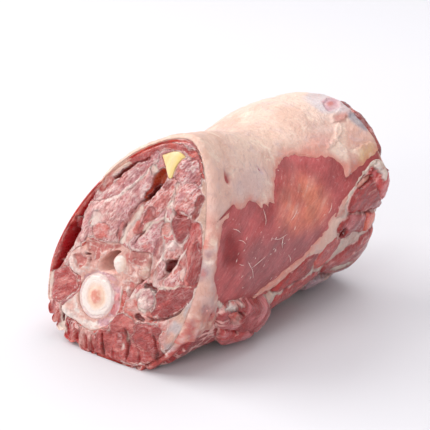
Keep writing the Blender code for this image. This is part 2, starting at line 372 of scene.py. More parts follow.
TOP_MUSCLES = (
    Region("red", "salmon", 30, 0.8, 0.2, (
        -28, 79.5, -22, 84.6, -15, 88.9, -10, 91.6, -5, 94.5, 0, 96.5, 5, 98.2, 10, 99.4, 15, 99.8,
        20, 99.7, 24, 98.2, 27.5, 95.5, 30, 92.5, 31.5, 89.5, 30.4, 89.6, 28.4, 92, 26, 94, 22.5, 96,
        20, 97.2, 15, 98, 10, 97.3, 6, 96, 3, 93.2, 0, 91, -5, 88.6, -10, 86.4, -15, 85, -22, 81.5)),
    Region("rim", "tan", 30, 0.5, 0.3, (
        -10, 87.2, -15, 85.6, -20, 83.3, -25, 79.5, -30, 75.5, -29, 73.5, -26, 72.8, -24.5, 74.5,
        -22.5, 77.5, -20, 79.5, -17.5, 81.5, -14, 84, -10.5, 86.2)),
    Region("gap", "red", 40, 0.0, -1.8, (
        1, 91.6, -5, 88.9, -10, 86.3, -15, 82.8, -18.5, 79.5, -21, 76, -24, 72.5, -22, 72.6, -18, 77,
        -14, 80.6, -9, 84.6, -5, 87.2, 0.5, 90)),
    Region("salmon", "red", 60, 0.4, -0.4, (
        -24.6, 74, -22.5, 77.4, -20, 79, -19.2, 77, -21.5, 74, -24, 71.8, -26, 71.8)),
    Region("mauve", "pink", 48, 1.0, 0.1, (
        3.6, 94.2, 0, 90, -5, 87.6, -8, 85.6, -12, 82.6, -15, 80, -18, 76.4, -20, 74, -23, 71.6,
        -27, 67.6, -24, 67.2, -20, 69.4, -15, 71.6, -10, 75.2, -6, 79, -2.6, 82.6, -0.4, 86, 2, 88.8,
        4.6, 91.6)),
    Region("pale", "mauve", 62, 1.3, 0.2, (
        3.4, 87.6, 0.6, 86.4, -1.6, 82.4, -4.4, 79, -8, 75.6, -12, 72.2, -16, 69.8, -20, 68.8, -25, 66.6,
        -28.4, 65, -31, 61, -33, 56, -33.2, 51, -33.4, 47.6, -30.6, 48, -29, 50.6, -20, 50.8, -11, 52,
        -9, 54.6, -7.4, 58.6, -4.6, 65, -2, 69.4, 0.4, 72.6, 1.6, 77, 3, 80.4, 3.4, 84)),
    Region("cream", "fascia", 20, 0.3, 0.5, (1.5, 85.6, 1.8, 88.2, 4.4, 88.4, 6, 87, 5.2, 85.2, 3, 84.6)),
    Region("salmon", "pink", 20, 0.5, 0.9, (
        -25, 55, -22, 56.8, -17.5, 57.2, -16.2, 55.6, -16.8, 53, -20, 51.2, -24.4, 51)),
    Region("fascia", "cream", 70, 0.3, 1.0, (
        -28.6, 56.5, -26.5, 61.5, -23, 62.4, -20.6, 60, -22.8, 57.8, -26, 55.6)),
    Region("red", "salmon", 80, 0.2, 0.9, (-8.8, 60.4, -7.8, 58.6, -8.6, 52.4, -10, 52.4, -9.8, 56.5)),
    Region("salmon", "deep", 70, 0.2, -0.3, (
        -3.4, 66.4, -0.6, 70.6, 1.4, 73.4, 0.8, 70.6, -2, 66.4, -4.6, 61.8)),
    Region("slot", "maroon", 60, 0.0, -4.4, (
        8.2, 88, 10.2, 86.6, 12, 83.6, 10, 81.2, 7, 77.4, 4.6, 75, 3, 72.6, 1, 71.6, 0.2, 73, 1.2, 76.6,
        2.8, 80, 3.5, 83.5, 5.6, 86.2)),
    Region("gap", "gap", 60, 0.0, -4.8, (
        6.6, 81.6, 8.4, 80, 7, 77, 4.6, 74.6, 2.6, 72.6, 0.8, 73, 2, 76.4, 4, 79.6)),
    Region("pink", "deep", 52, 1.1, 0.3, (
        12.2, 84.2, 16.6, 84.8, 17.4, 83, 16.6, 79, 15.2, 75.4, 13.4, 73.3, 12.3, 71, 9.6, 68, 7.6, 65,
        5, 62.4, 2.6, 59.8, 0, 58.6, -1.4, 59, 0.2, 62.4, 1.4, 66, 1.2, 69, 2.6, 71.8, 5.4, 75.2,
        8.6, 79.6, 11.6, 83.2)),
    Region("deep", "red", 58, 0.6, 0.9, (
        7.4, 70.6, 8.2, 67.4, 7.2, 64.8, 4.5, 61.8, 1.6, 59.2, 0.8, 60.4, 2.3, 63, 2.9, 66, 4.9, 68.8)),
    Region("cream", "cream", 64, 0.5, 0.6, (
        0.4, 70.4, -1.6, 69, -4.2, 64, -6, 60, -8, 55, -8.8, 52, -6.6, 52, -5.4, 56.6, -3.4, 61,
        -0.6, 65, 1, 67.6)),
    Region("salmon", "orange", 66, 0.5, 0.8, (
        0.2, 63.4, -2.6, 60, -5, 56, -5.3, 53.4, -3.4, 53.4, -1.8, 57, 0.2, 60)),
    Region("mauve", "pink", 45, 1.0, 0.2, (
        19.8, 95, 17, 92, 15.9, 89, 16.2, 86, 18, 85, 20.5, 84.4, 22.5, 85.6, 29.4, 85.2, 29.6, 88,
        29, 90.5, 27.8, 93, 25, 95)),
    Region("pink", "mauve", 50, 1.3, 0.3, (
        18.6, 82.4, 21, 83.8, 24, 84.8, 28, 84.8, 30, 82, 31.2, 80, 30, 76, 29.8, 72, 26, 71.6, 20, 71.2,
        18, 73, 18, 77)),
    Region("deep", "red", 40, 1.2, 0.3, (
        19.8, 71, 24, 71.6, 26, 71.2, 29.3, 69.8, 29.8, 68, 28.2, 64, 27.6, 61.8, 26, 60.8, 23, 61.3,
        20.6, 63.2, 19, 66, 18.2, 68.6)),
    Region("salmon", "deep", 80, 0.2, -0.9, (
        31.4, 80.8, 32.9, 80.6, 32.5, 77, 32.1, 73, 31, 70.2, 29.9, 71, 30.5, 75, 30.5, 78)),
    Region("fascia", "cream", 70, 0.8, 0.7, (
        17.6, 84, 19, 82.6, 18.6, 80, 17.8, 76.5, 18.4, 72, 18.6, 69, 17.2, 66.6, 14.2, 66.4, 13.4, 69,
        14.4, 72.6, 16.2, 75, 17.2, 78.5, 17.2, 81.5)),
    Region("red", "pink", 75, 1.2, 0.2, (
        31.4, 69.6, 33.6, 69.2, 35.2, 66.4, 36.2, 63, 37.6, 59.4, 38.6, 56, 39.3, 51, 38.6, 43.8, 34, 43,
        31.2, 43.4, 31.4, 50, 28.6, 57, 28.5, 60.6, 29.2, 62.6, 30, 66)),
    Region("deep", "red", 75, 0.4, 1.1, (
        34, 62, 36.4, 60, 38, 56.4, 38.8, 51, 38.2, 45, 35.6, 44, 33.6, 46, 33, 52, 33, 58)),
    Region("salmon", "red", 20, 0.9, 0.1, (
        12, 62, 14, 64, 16.5, 65.8, 18.2, 64, 18, 61.5, 16, 60.5, 13, 60.3)),
    Region("mauve", "pink", 40, 0.9, 0.2, (
        13.6, 70.4, 11.6, 67.6, 8.4, 63.4, 5, 60.2, 2, 57.6, -1, 56.6, -2.4, 54, -2.2, 51.6, 2, 51,
        8, 51.8, 12, 51.6, 13.6, 54, 13, 58, 12.6, 61.4, 13, 65)),
    Region("deep", "salmon", 70, 0.7, 0.2, (
        13.6, 58.2, 16, 57.6, 17, 55, 16.6, 52, 14, 50.4, 12, 52, 13, 55)),
    Region("mauve", "fascia", 60, 0.6, 0.3, (20, 58.4, 23.6, 58, 24, 55.6, 21, 53.6, 19.4, 55)),
    Region("red", "pink", 62, 0.8, 0.2, (
        25.8, 57, 28, 56, 30.2, 50, 29.6, 46, 28, 49.4, 25.6, 51, 24.8, 53.4, 24.6, 55.8)),
    Region("pink", "salmon", 62, 0.7, 0.1, (18.6, 53, 19.4, 54.4, 24, 54.8, 24.6, 53, 21, 51.6, 18.6, 50)),
    Region("gap", "maroon", 50, 0.0, -3.6, (
        19, 48.7, 21, 50.6, 24.4, 52, 25, 50, 23.6, 47, 21.4, 45.2, 19.4, 46)),
    Region("salmon", "deep", 85, 0.6, -0.4, (
        12, 50.2, 15.4, 49.2, 15.5, 44, 14.5, 40, 13.4, 38.4, 12, 41, 11.8, 46)),
    Region("mauve", "pink", 70, 0.9, 0.2, (
        16, 49.6, 18.4, 48.2, 18.8, 45.6, 21, 44.6, 20.4, 41, 19, 38.6, 16.6, 37.2, 15.4, 38.6, 16, 43)),
    Region("pink", "mauve", 55, 1.1, 0.2, (
        25, 49.6, 28, 48.6, 30.4, 44.4, 31, 41.6, 27, 39.8, 23, 37.4, 20.4, 40, 22, 44.4, 24, 47.3)),
    Region("fascia", "cream", 80, 0.4, 0.9, (
        28.6, 44.4, 28.4, 47.4, 29.6, 49, 31.4, 48.4, 31.4, 45, 30.4, 43.8)),
)

LOW_MUSCLES = (
    Region("deep", "red", 35, 1.4, 0.2, (
        37, 42, 36, 38, 34, 34, 31, 31, 28, 29, 25, 27, 21, 25.6, 17.6, 25.6, 18.6, 28.6, 18.2, 32,
        17.6, 36, 20, 37.8, 24, 36.7, 27, 39.3, 31, 41.2, 34, 41.9)),
    Region("gap", "deep", 20, 0.2, -0.8, (10.5, 35, 10.2, 37.6, 12.6, 38, 16.6, 37, 17, 35.4, 13.6, 35.8)),
    Region("fascia", "cream", 0, 0.7, 0.4, (
        17.4, 34, 17.9, 31, 16.8, 28, 13.6, 26.1, 9, 25.9, 7.4, 28, 7.6, 31.4, 9.4, 34.4, 13, 36,
        16, 35.6)),
    Region("mauve", "fascia", 45, 0.9, 0.8, (
        8.6, 31, 10, 34.4, 13, 35.4, 16, 33.6, 16.4, 30.4, 14.2, 27.9, 10.6, 27.6, 8.8, 29)),
    Region("salmon", "red", 15, 0.9, 0.0, (
        0.8, 25, 2.6, 28.6, 6, 29.8, 7.6, 27, 8.8, 25.4, 12, 25.2, 16, 25.6, 18, 22.2, 14, 21.7, 9, 21,
        5, 22.2, 1, 23)),
    Region("gap", "deep", 10, 0.0, -1.0, (7, 22.6, 9, 23.8, 12, 23.4, 12.6, 21.8, 9, 21.4)),
    Region("red", "salmon", 30, 0.6, 0.2, (21.6, 24.5, 25, 25.6, 26.2, 23, 25.6, 21.2, 22, 21.2)),
    Region("red", "pink", 20, 1.0, 0.1, (
        -4.6, 19, -1, 20.6, 3, 20.4, 8, 19.2, 8.6, 16, 5, 13.6, 0, 13, -5, 13.2, -5.4, 16)),
    Region("deep", "red", 25, 1.0, 0.2, (
        9, 19.4, 14, 19.8, 20, 20.6, 23.4, 19.4, 22.4, 17.6, 24.6, 14.4, 26, 11, 22, 9.6, 16, 10,
        10, 11.6, 7, 13.4, 9.2, 16)),
    Region("red", "pink", 10, 1.1, 0.2, (
        -11.6, 12.4, -6, 12.2, 0, 12.2, 6, 12.6, 10, 10.6, 16, 9, 22, 8.6, 27, 9.6, 29.6, 13.4,
        33.6, 13.4, 32, 10.6, 27, 7.4, 20, 5, 10, 3.2, 2, 1.6, -4, 0.8, -11, 0.6, -12.2, 6)),
    Region("cream", "fascia", 60, 0.2, 1.1, (4, 14, 5.4, 14.4, 6, 11.6, 5, 10.8)),
    Region("fascia", "pink", 70, 0.2, 1.1, (3, 9, 4.6, 9, 5, 6, 3.6, 5.6)),
    Region("red", "deep", 80, 1.3, 0.1, (
        -17.6, 7.6, -14.8, 8.6, -12.6, 7, -12.8, 2, -14.4, 0.4, -17.4, 0.4, -18.2, 3)),
    Region("red", "pink", 80, 1.2, 0.0, (
        -23.2, 8.6, -20.4, 9, -18.4, 6.4, -18.8, 1.4, -21.4, 0.6, -23.6, 3)),
    Region("pink", "red", 75, 1.4, 0.1, (
        -31.5, 11.4, -28, 11.9, -25.5, 10.8, -24, 8, -23.9, 5, -24.4, 2.3, -27, 1.7, -30.4, 2.4, -31.2, 6)),
    Region("cream", "tan", 85, 0.5, 0.2, (
        -36.6, 14, -33.6, 13.4, -32, 10, -31.9, 5, -31.9, 1.4, -35.6, 2.6, -36.9, 6, -36.3, 10)),
    Region("gap", "maroon", 85, 0.0, -2.2, (-35.3, 13.4, -34.1, 13.6, -33.9, 10, -35, 9.7)),
    Region("pink", "red", 85, 0.9, 0.1, (
        -44, 18, -41, 17.6, -38, 17, -36.8, 15.6, -36.9, 10, -37.4, 6, -38, 3.4, -40.6, 4, -43, 7,
        -44.8, 12)),
    Region("deep", "pink", 85, 0.1, 0.6, (-41.4, 16.6, -40.6, 16.4, -40.4, 8, -41.2, 8)),
    Region("red", "pink", 30, 1.4, 0.2, (
        -43.6, 30.6, -40, 32.6, -37, 34, -34, 32.4, -31.6, 30.8, -30, 28.6, -29.2, 26.4, -30.6, 24.4,
        -33, 21.8, -35.5, 19.8, -38, 18.4, -41, 18.2, -43, 18.8, -43.9, 21.4, -43.8, 26)),
    Region("cream", "rim", 80, 0.5, 0.2, (
        -47.6, 30, -45, 30.8, -44.2, 26, -44.1, 20, -44.6, 16.4, -46.6, 16, -47.9, 22, -48.2, 27)),
    Region("pale", "pink", 65, 0.6, 0.1, (
        -35.6, 45, -33.8, 47.6, -32.4, 45.8, -34.6, 43.6, -38, 40.6, -39, 36.8, -38.2, 36, -37.2, 39.6)),
)

FLAP = (
    Region("red", "salmon", 70, 1.6, 0.4, (
        -27.6, 73.4, -33, 70.4, -37.4, 65.4, -41, 59.4, -44, 53, -46.6, 47, -48.4, 41, -48.8, 35,
        -47.6, 31, -46, 30.8, -44.2, 35, -43.2, 40, -41.8, 45.6, -39.8, 51.4, -37.6, 55.2, -34.8, 60,
        -31.8, 65, -29, 69.2)),
    Region("maroon", "red", 70, 0.0, -11.0, (
        -28.2, 70.4, -29.6, 66.8, -31.2, 63.5, -32.3, 60, -33.2, 57, -33.4, 52, -34.4, 48, -36, 44.2,
        -38, 41.6, -39.6, 39.4, -40.5, 36, -42, 33, -45.4, 31.2, -44.2, 35, -43.4, 40, -42, 46, -40, 52,
        -37.6, 55.6, -34.6, 60.4, -31.6, 65.4)),
    Region("fascia", "pink", 60, 0.5, -0.8, (
        -43, 37.2, -41.4, 38.4, -40, 40.6, -37.6, 41.8, -37.8, 40.6, -40.4, 38.4, -42.6, 36)),
    Region("red", "maroon", 60, 0.5, -2.4, (-36.4, 56.6, -34, 56.8, -33.3, 54, -35, 52.8, -36.6, 54.4)),
)

CANAL_OUTLINE = (
    -19, 37, -19.6, 40, -18, 42.6, -15, 45.4, -12, 47.2, -9.6, 48, -7.6, 47.8, -8.6, 46.4, -10, 45,
    -10.7, 43, -10.5, 41, -9.5, 39.4, -7.6, 38.4, -9, 37.9, -13, 37.3, -16.5, 36.7)
BONE_OUTLINE = (
    -37.4, 38, -36.4, 41.6, -34, 44.3, -31, 45.6, -30, 47, -29.8, 50, -27.5, 50.2, -24, 49.8, -17, 50.3,
    -10, 51.8, -4, 51, 0, 50.2, 5, 51.1, 10, 51.6, 11.5, 48, 11.4, 44, 11.8, 41, 10, 39.2, 8.4, 37,
    6.2, 36, 5, 34, 3.6, 31, 2, 29, 0.3, 30.2, -1.1, 31.6, -1.5, 28, -1.6, 23, -3.6, 19, -5, 16.2,
    -8.5, 13, -12, 10.8, -16, 9.1, -20, 9.1, -24, 10.2, -28, 11, -32, 11.8, -35.8, 13.3, -36.9, 16,
    -34.2, 19.8, -31.2, 22.5, -28.7, 25, -27.7, 28, -29, 30.8, -33, 31.6, -36, 34)
BONE_REGIONS = (
    Region("arch", "marrow", 20, 0.5, -0.5, (
        -29.2, 46.6, -26, 48, -20, 48.8, -14, 49.7, -8.6, 50.4, -10, 48.9, -14, 47, -18, 44.4,
        -19.6, 42.8, -22, 41.2, -24, 43.5, -27, 45.3)),
    Region("bone", "cartilage", 0, 0.9, 0.3, (
        -36.8, 38, -36, 41, -33.6, 43.9, -30, 44.8, -26.6, 43.8, -24.2, 41.2, -24, 37.6, -26, 34,
        -29.4, 32, -33, 32.2, -36, 34.8)),
    Region("marrow", "deep", 15, 0.5, -0.3, (
        -34, 40, -31.2, 41.2, -28, 41.1, -26.4, 40, -26.4, 38, -27.5, 36.4, -29.5, 34.6, -32, 36.4,
        -33.6, 38.4)),
    Region("gap", "gap", 0, 0.0, -2.6, (-27.8, 42.6, -26.6, 43.3, -25.2, 42.9, -25.3, 42, -26.6, 41.8)),
    Region("gap", "canal", 0, 0.0, -1.6, (-25, 41, -24.4, 41.4, -24, 40.4, -24.4, 39.6, -25, 40)),
    Region("bone", "bone", 60, 0.9, 0.1, (
        -23.6, 36, -23.6, 40, -21.6, 41, -19.8, 42.4, -17.6, 44.6, -14, 47, -10, 48.8, -10.4, 48.2,
        -14, 46, -17.8, 43.2, -19.7, 40.4, -19.6, 37, -21, 35.2)),
    Region("marrow", "arch", 10, 0.5, 0.1, (
        -3, 44.6, -1, 43.9, 4, 44.6, 8, 45, 8.6, 48, 4, 48.8, -1, 48.6, -4, 47.6)),
    Region("canal", "marrow", 10, 0.3, 0.0, (-1, 40.6, 2, 40, 4, 41.4, 4, 44, 1, 44.4, -1, 43.6)),
    Region("bone", "tan", 40, 0.9, 0.6, (
        4.2, 40.6, 8, 40.2, 10.8, 42, 10.8, 46, 9, 49, 8.2, 46, 6, 44.8, 4.4, 44)),
    Region("bone", "marrow", 40, 0.8, 0.3, (1.2, 36.6, 4, 36.2, 8, 38, 8.4, 40, 4, 40.8, 1, 39.6)),
    Region("marrow", "pink", 60, 0.4, -0.2, (1, 34.4, 3.6, 34, 4.4, 36, 2, 37, 0.8, 36.4)),
    Region("cartilage", "bone", 80, 0.8, 0.3, (0.6, 29.8, 2, 29.4, 3, 31.6, 2.2, 34.2, 0.6, 34.4, 0.2, 32)),
    Region("gap", "maroon", 70, 0.0, -2.2, (
        7, 39.4, 9.2, 38.6, 9.4, 37, 8, 34.6, 8.5, 32, 7, 30.8, 5.2, 32.4, 5.6, 34.6, 7, 37)),
    # This lilac crescent round the disc's upper right sits a little low and is painted shade.
    Region("lilac", "bone", 0, 0.3, -0.5, (
        -26, 32.4, -22.6, 34.8, -19, 36.3, -14, 36.7, -9, 36, -5.4, 33.8, -2.8, 30, -1.8, 26, -2.6, 21.4,
        -4.6, 17.6, -9, 13.6, -13.4, 12.8, -13, 15.4, -9.4, 17.4, -7.4, 21, -6.6, 26, -7.6, 30.4,
        -10.6, 33.2, -14, 34.6, -18, 34.6, -22, 33.2, -25, 31)),
    Region("mauve", "deep", 80, 0.5, 0.0, (-6, 29.5, -4, 30, -3.2, 27.6, -4.4, 25.9, -6.4, 26.4)),
    Region("mauve", "deep", 80, 0.5, 0.0, (
        -6.9, 25, -4.4, 25, -3.2, 22.6, -4.4, 19.8, -6.6, 20.2, -7.4, 22.4)),
    Region("cartilage", "bone", 80, 0.6, 0.5, (
        -4, 33.4, -2.9, 33.2, -1.5, 29, -1.4, 24, -3, 19.6, -5.6, 16.4, -6.6, 17.4, -4.1, 20.2, -2.5, 24,
        -2.6, 28.4)),
    Region("cartilage", "bone", 0, 0.8, 0.2, (
        -28, 26, -30.8, 22.6, -34, 19.4, -36.4, 16, -35.4, 13.8, -32, 12.3, -28, 11.5, -24, 10.7,
        -20, 9.7, -16, 9.8, -12, 11.6, -14, 14, -20, 14, -26, 17, -28.4, 21)),
)
# The passage through the muscle behind the bone's canal.
TUNNEL_MIDDLE = (-13.2, 42.4)
TUNNEL_HALF = (8.0, 6.9)
TUNNEL_LIP = (7.7, 6.6)
TUNNEL_SLOPE = 12.0
KNOB_MIDDLE = (-6.6, 42.5)
KNOB_HALF = (3.7, 3.9)
KNOB_RISE = 1.9
DISC_MIDDLE = (-17.4, 25.3)
DISC_HALF = (11.0, 10.7)
LIGAMENT_OUTLINE = (
    6, 94.2, 9, 95.6, 12, 97, 16, 97.3, 19.4, 96, 20, 95, 18.4, 94, 16.8, 92, 15.4, 89.5, 14.9, 87,
    14, 84.6, 12, 84.2, 11, 85.5, 9.7, 87.5, 8.5, 89.5, 7, 91.5, 6, 93)

# ---------------------------------------------------------------- the map of the flanks

# Bare places in the fat on the right flank, as y and z in millimetres, then on the left flank.
RIGHT_WINDOWS = (
    (
        26, 69, 30, 70.4, 34, 73.4, 38, 71.6, 42, 71, 46, 73, 50, 71.4, 53, 67.4, 55, 69, 58, 66.4,
        60, 68, 63, 66.6, 65, 71, 68, 74.6, 72, 77.4, 78, 79.4, 88, 80.6, 98, 78.6, 106, 76, 112, 74.4,
        115, 72, 115, 67, 118, 66, 128, 68.2, 138, 70.2, 144, 71.6, 146, 68.6, 138, 66.4, 126, 63.6,
        116, 59.6, 108, 55, 100, 50.4, 94, 44.4, 85, 38, 75, 33.4, 66, 30.2, 58, 28.4, 52, 27.4, 47, 24,
        42, 19, 36, 15, 29, 16, 25, 25, 22, 33, 19.6, 40, 18, 47, 19.6, 54, 22.4, 62),
    (
        111, 52.6, 118, 57.4, 124, 60, 131, 62, 137, 63.6, 142, 60, 148, 57, 150, 50, 146, 45.4,
        138, 44.6, 128, 46.6, 120, 48.6, 113, 49.6),
    (110, 41.6, 118, 43, 127, 44.6, 135, 43, 137, 38, 131, 35, 122, 34.6, 114, 37),
    (62, 21, 70, 25.4, 80, 28.6, 90, 30, 92, 27.6, 104, 25.6, 106, 18, 92, 13, 76, 9, 60, 7, 52, 9, 55, 16),
    (112, 24, 120, 28, 130, 27, 142, 24, 152, 21, 152, 6, 130, 6, 116, 10, 108, 15),
)
LEFT_WINDOWS = (
    (
        30, 60, 38, 66, 50, 69, 60, 71, 72, 70, 80, 64, 84, 57, 80, 50, 70, 45, 58, 43, 46, 44, 36, 48,
        30, 54),
    (88, 60, 96, 66, 108, 69, 120, 67, 128, 62, 130, 54, 124, 47, 112, 44, 100, 45, 91, 51),
)
ORANGE_PLACE = (64, 56, 66, 63, 72, 69, 80, 73, 90, 73, 98, 67, 100, 60, 97, 53, 90, 49, 82, 49, 72, 51)
DARK_STRIPE = (27, 64, 32, 63, 34.6, 56, 35, 49, 31, 47.6, 26, 48, 23.4, 54, 24.4, 61)
LOW_PURPLE = (40, 52, 60, 54, 76, 49, 92, 47, 88, 40, 74, 33, 58, 28, 44, 28, 38, 38)
HOLLOW = (127, 62, 133, 64, 138, 63.4, 137, 60, 132, 59, 128, 59.6)


def region_fields(
    places, regions, base_tone, base_level, seed, bulge_scale, soft_scale=1.0, grow=0.0, packed=False
):
    """Height, colour, grain and finish at each place of a cut, from its regions. The colour is the tissues'
    own, with painted shade in the border creases and the gap hollows.
    """
    flat = upright(places, 3.1 * seed)
    shift = wander(flat, 5.6, seed + 8) * 0.45
    shift += wander(flat, 2.4, seed + 1) * 0.42
    shift += wander(flat, 1.0, seed + 3) * 0.24
    warped = places + shift
    softness = soft_scale * (0.12 + 0.40 * smooth(0.0, 0.7, noise(flat, 4.3, seed + 6)))
    broken = smooth(-0.45, 0.15, noise(flat, 3.7, seed + 7))
    line_width = 0.22 + 0.30 * smooth(-0.2, 0.8, noise(flat, 6.3, seed + 10))
    if packed:
        warped = warped + wander(flat, 4.1, seed + 15) * 0.55
        broken = smooth(-0.30, 0.35, noise(flat, 4.7, seed + 7))
        line_width = 0.10 + 0.36 * smooth(-0.1, 0.9, noise(flat, 6.3, seed + 10))
    round_edge, ring_at, ring_share = (2.4, 0.5, 0.70) if packed else (1.1, 0.1, 0.80)
    crease_shade_name, crease_shade_share, crease_depth = ("red", 0.45, 0.15) if packed else ("deep", 0.75, 0.45)
    ragged = 0.34 * noise(flat, 1.7, seed + 12) + 0.20 * noise(flat, 0.9, seed + 13)
    height = base_level + 0.35 * layered(flat, 2.0, seed + 5)
    tones = np.tile(base_tone, (len(places), 1))
    angles = np.full(len(places), 50.0)
    seam = np.full(len(places), 6.0)
    muscle = np.zeros(len(places))
    for number, region in enumerate(regions):
        outline = closed_curve(region.outline)
        is_muscle = region.tissue in ("pale", "mauve", "pink", "red", "deep", "salmon")
        hollow = region.level < -1.0
        depth = inside_distance(warped, outline) + (grow if is_muscle else 0.0)
        if not hollow:
            depth = depth + ragged
        after = np.roll(outline, -1, axis=0)
        area = 0.5 * abs(np.sum(outline[:, 0] * after[:, 1] - after[:, 0] * outline[:, 1]))
        melting = area < 58.0 or region.tissue in ("salmon", "fascia")
        diffuse = packed and not hollow and region.tissue != "gap" and melting
        blurred = 3.4 if diffuse else 1.0
        share = np.clip(0.5 + 0.5 * depth / (softness * blurred), 0.0, 1.0)
        rounded = 1.0 - np.exp(-np.maximum(depth, 0.0) / round_edge)
        body = region.level + region.bulge * bulge_scale * rounded
        if is_muscle and grow > 0.0 and not hollow:
            body = mix(base_level, body, smooth(0.0, 1.3, depth))
        if hollow:
            reach = min(2.4, 0.5 + 0.16 * abs(region.level))
            body = region.level * smooth(0.0, reach, depth)
        height = mix(height, body, share if hollow else smooth(-0.55, 0.55, depth))
        angle = math.radians(region.grain)
        streak = upright(turned(places, angle), 5.0 * number)
        blend = smooth(-0.2, 0.6, layered(streak, (6.0, 5.0, 2.2), seed + 11 + number))
        inner = mix(tone(region.tissue), tone(region.second), blend[:, None])
        strength = np.clip(0.70 + 0.5 * layered(flat, 2.6, seed + 14), 0.0, 1.0) if diffuse else 1.0
        tones = mix(tones, inner, (share * strength)[:, None])
        if is_muscle and grow > 0.0:
            ring = smooth(line_width + 0.14, line_width - 0.14, np.abs(depth - ring_at)) / blurred
            line = ring * broken
            tones = tint(tones, "fascia", ring_share * line)
            # A darker red is painted into the sunken crease along each muscle's border, as painted shade.
            crease = smooth(0.75, 0.1, np.abs(depth)) * (1.0 - broken) / blurred
            tones = tint(tones, crease_shade_name, crease_shade_share * crease)
            height = height + 0.12 * line - crease_depth * crease
        angles = np.where(share > 0.5, region.grain, angles)
        seam = np.minimum(seam, np.abs(depth))
        strength = 1.0 if region.tissue in ("pale", "mauve", "pink") else 0.55
        muscle = np.where(share > 0.5, strength if is_muscle else 0.0, muscle)
    grain = np.column_stack((turned(places, np.radians(angles)), angles))
    return height, tones, grain, seam, muscle


def face_fields(places, seed):
    """Everything about the muscle side of a cut face at the given x and z."""
    bulge = sizes().muscle_bulge / MM
    flat = upright(places, 2.0 * seed)
    fat_side = (smooth(20.0, 34.0, places[:, 0]) * smooth(3.0, 11.0, places[:, 1]))[:, None]
    meat = mottle("salmon", "mauve", smooth(-0.5, 0.5, layered(flat, 4.4, seed + 57)))
    pale_film = smooth(0.35, 0.75, layered(flat, (3.4, 3.4, 2.2), seed + 58))
    film = tint(meat, "fascia", 0.75 * pale_film, 0.9)
    base = mix(film, tone("tan") * np.array((0.93, 0.82, 0.81)), fat_side)
    regions = TOP_MUSCLES + LOW_MUSCLES + FLAP
    found = region_fields(places, regions, tone("fascia"), 0.55, seed, bulge, 1.0, 0.70, True)
    height, tones, grain, seam, muscle = found
    bed = (muscle < 0.1) & np.all(np.abs(tones - tone("fascia")) < 0.02, axis=1)
    tones = np.where(bed[:, None], base, tones)
    muscle = np.where(bed, 0.75 * (1.0 - pale_film) * (1.0 - fat_side[:, 0]), muscle)
    pad = smooth(0.0, 2.0, inside_distance(places, closed_curve(FAT_PAD_PLACE)))
    grey = smooth(-0.2, 0.4, layered(flat, 5.0, seed + 71)) * pad * smooth(24.0, 29.0, places[:, 0])
    tones = tint(tones, "blue", 0.75 * grey, 0.94)
    streak = np.column_stack((grain[:, 0], grain[:, 2], grain[:, 1]))
    bend = upright(wander(flat, 3.2, seed + 41), 0.0)
    folds = ridged(streak + flat * 0.15 + bend * 0.8, (4.2, 9.0, 1.15), seed + 40)
    fine = ridged(streak + bend * 0.5, (2.2, 9.0, 0.7), seed + 45, 1)
    height = height + muscle * (0.80 * (folds - 0.55) + 0.26 * (fine - 0.5))
    pale_place = smooth(0.12, 0.22, tones[:, 1])
    # Pale fascia on the fold crests, partly the tissue's own colour and partly painted highlight.
    veins = smooth(0.74, 0.88, folds) * smooth(-0.4, 0.4, noise(flat, 3.1, seed + 48)) * muscle
    tones = tint(tones, "fascia", 0.70 * veins * (0.35 + 0.65 * pale_place))
    # Deep red painted into the fold creases is painted shade.
    fold_shade = smooth(0.36, 0.20, folds) * muscle
    tones = tint(tones, "deep", 0.60 * fold_shade)
    crumple = ridged(flat + bend * 1.3, (2.1, 9.0, 2.1), seed + 55)
    patchy = smooth(-0.5, 0.3, noise(flat, 5.0, seed + 56))
    height = height + muscle * 0.46 * (crumple - 0.5)
    # Pale webs on the crumple crests are partly fascia and partly painted highlight; the deep red in its pits
    # is painted shade.
    crest_webs_and_glints = smooth(0.72, 0.88, crumple) * muscle * (0.15 + 0.85 * pale_place) * patchy
    tones = tint(tones, "fascia", 0.26 * crest_webs_and_glints)
    tones = tint(tones, "deep", 0.42 * smooth(0.40, 0.20, crumple) * muscle)
    low = smooth(22.0, 12.0, places[:, 1])
    lobe_warp = 2.6 * noise(flat, 7.0, seed + 53)[:, None] * np.array((1.0, 0.0, 0.0))
    lobes = ridged((flat + lobe_warp) * np.array((1.0, 1.0, 0.30)), (4.4, 9.0, 4.4), seed + 52, 1)
    height = height + low * 2.6 * (lobes - 0.62)
    tones = tones * (1.0 - (low * np.minimum(muscle * 2.0, 1.0))[:, None] * np.array((0.06, 0.22, 0.25)))
    # Gap red painted into the creases between the bottom lobes is painted shade.
    tones = tint(tones, "gap", 0.65 * low * smooth(0.36, 0.10, lobes))
    tones = tint(tones, "salmon", 0.35 * low * smooth(0.70, 0.95, lobes))
    height = height + 0.65 * noise(flat, 13.0, seed + 50)
    jitter = places + bend[:, (0, 2)] * 0.7
    parted = smooth(-0.6, -0.1, noise(flat, 3.6, seed + 93))
    for number, (tissue, half, rise, path) in enumerate(FACE_LINES):
        apart, part = line_distance(jitter, path)
        taper = smooth(0.0, 0.22, part) * smooth(1.0, 0.78, part)
        width = half * (0.35 + 0.65 * taper) * (1.0 + 0.55 * noise(flat, 2.6, seed + 90 + number))
        widths_off = apart / np.maximum(width, 0.05)
        share = smooth(1.25, 0.55, widths_off) * parted
        tones = tint(tones, tissue, 0.85 * share)
        height = height + rise * smooth(2.2, 0.0, widths_off) * (0.3 + 0.7 * taper)
        muscle = muscle * (1.0 - share)
    return height, tones, grain, seam, muscle
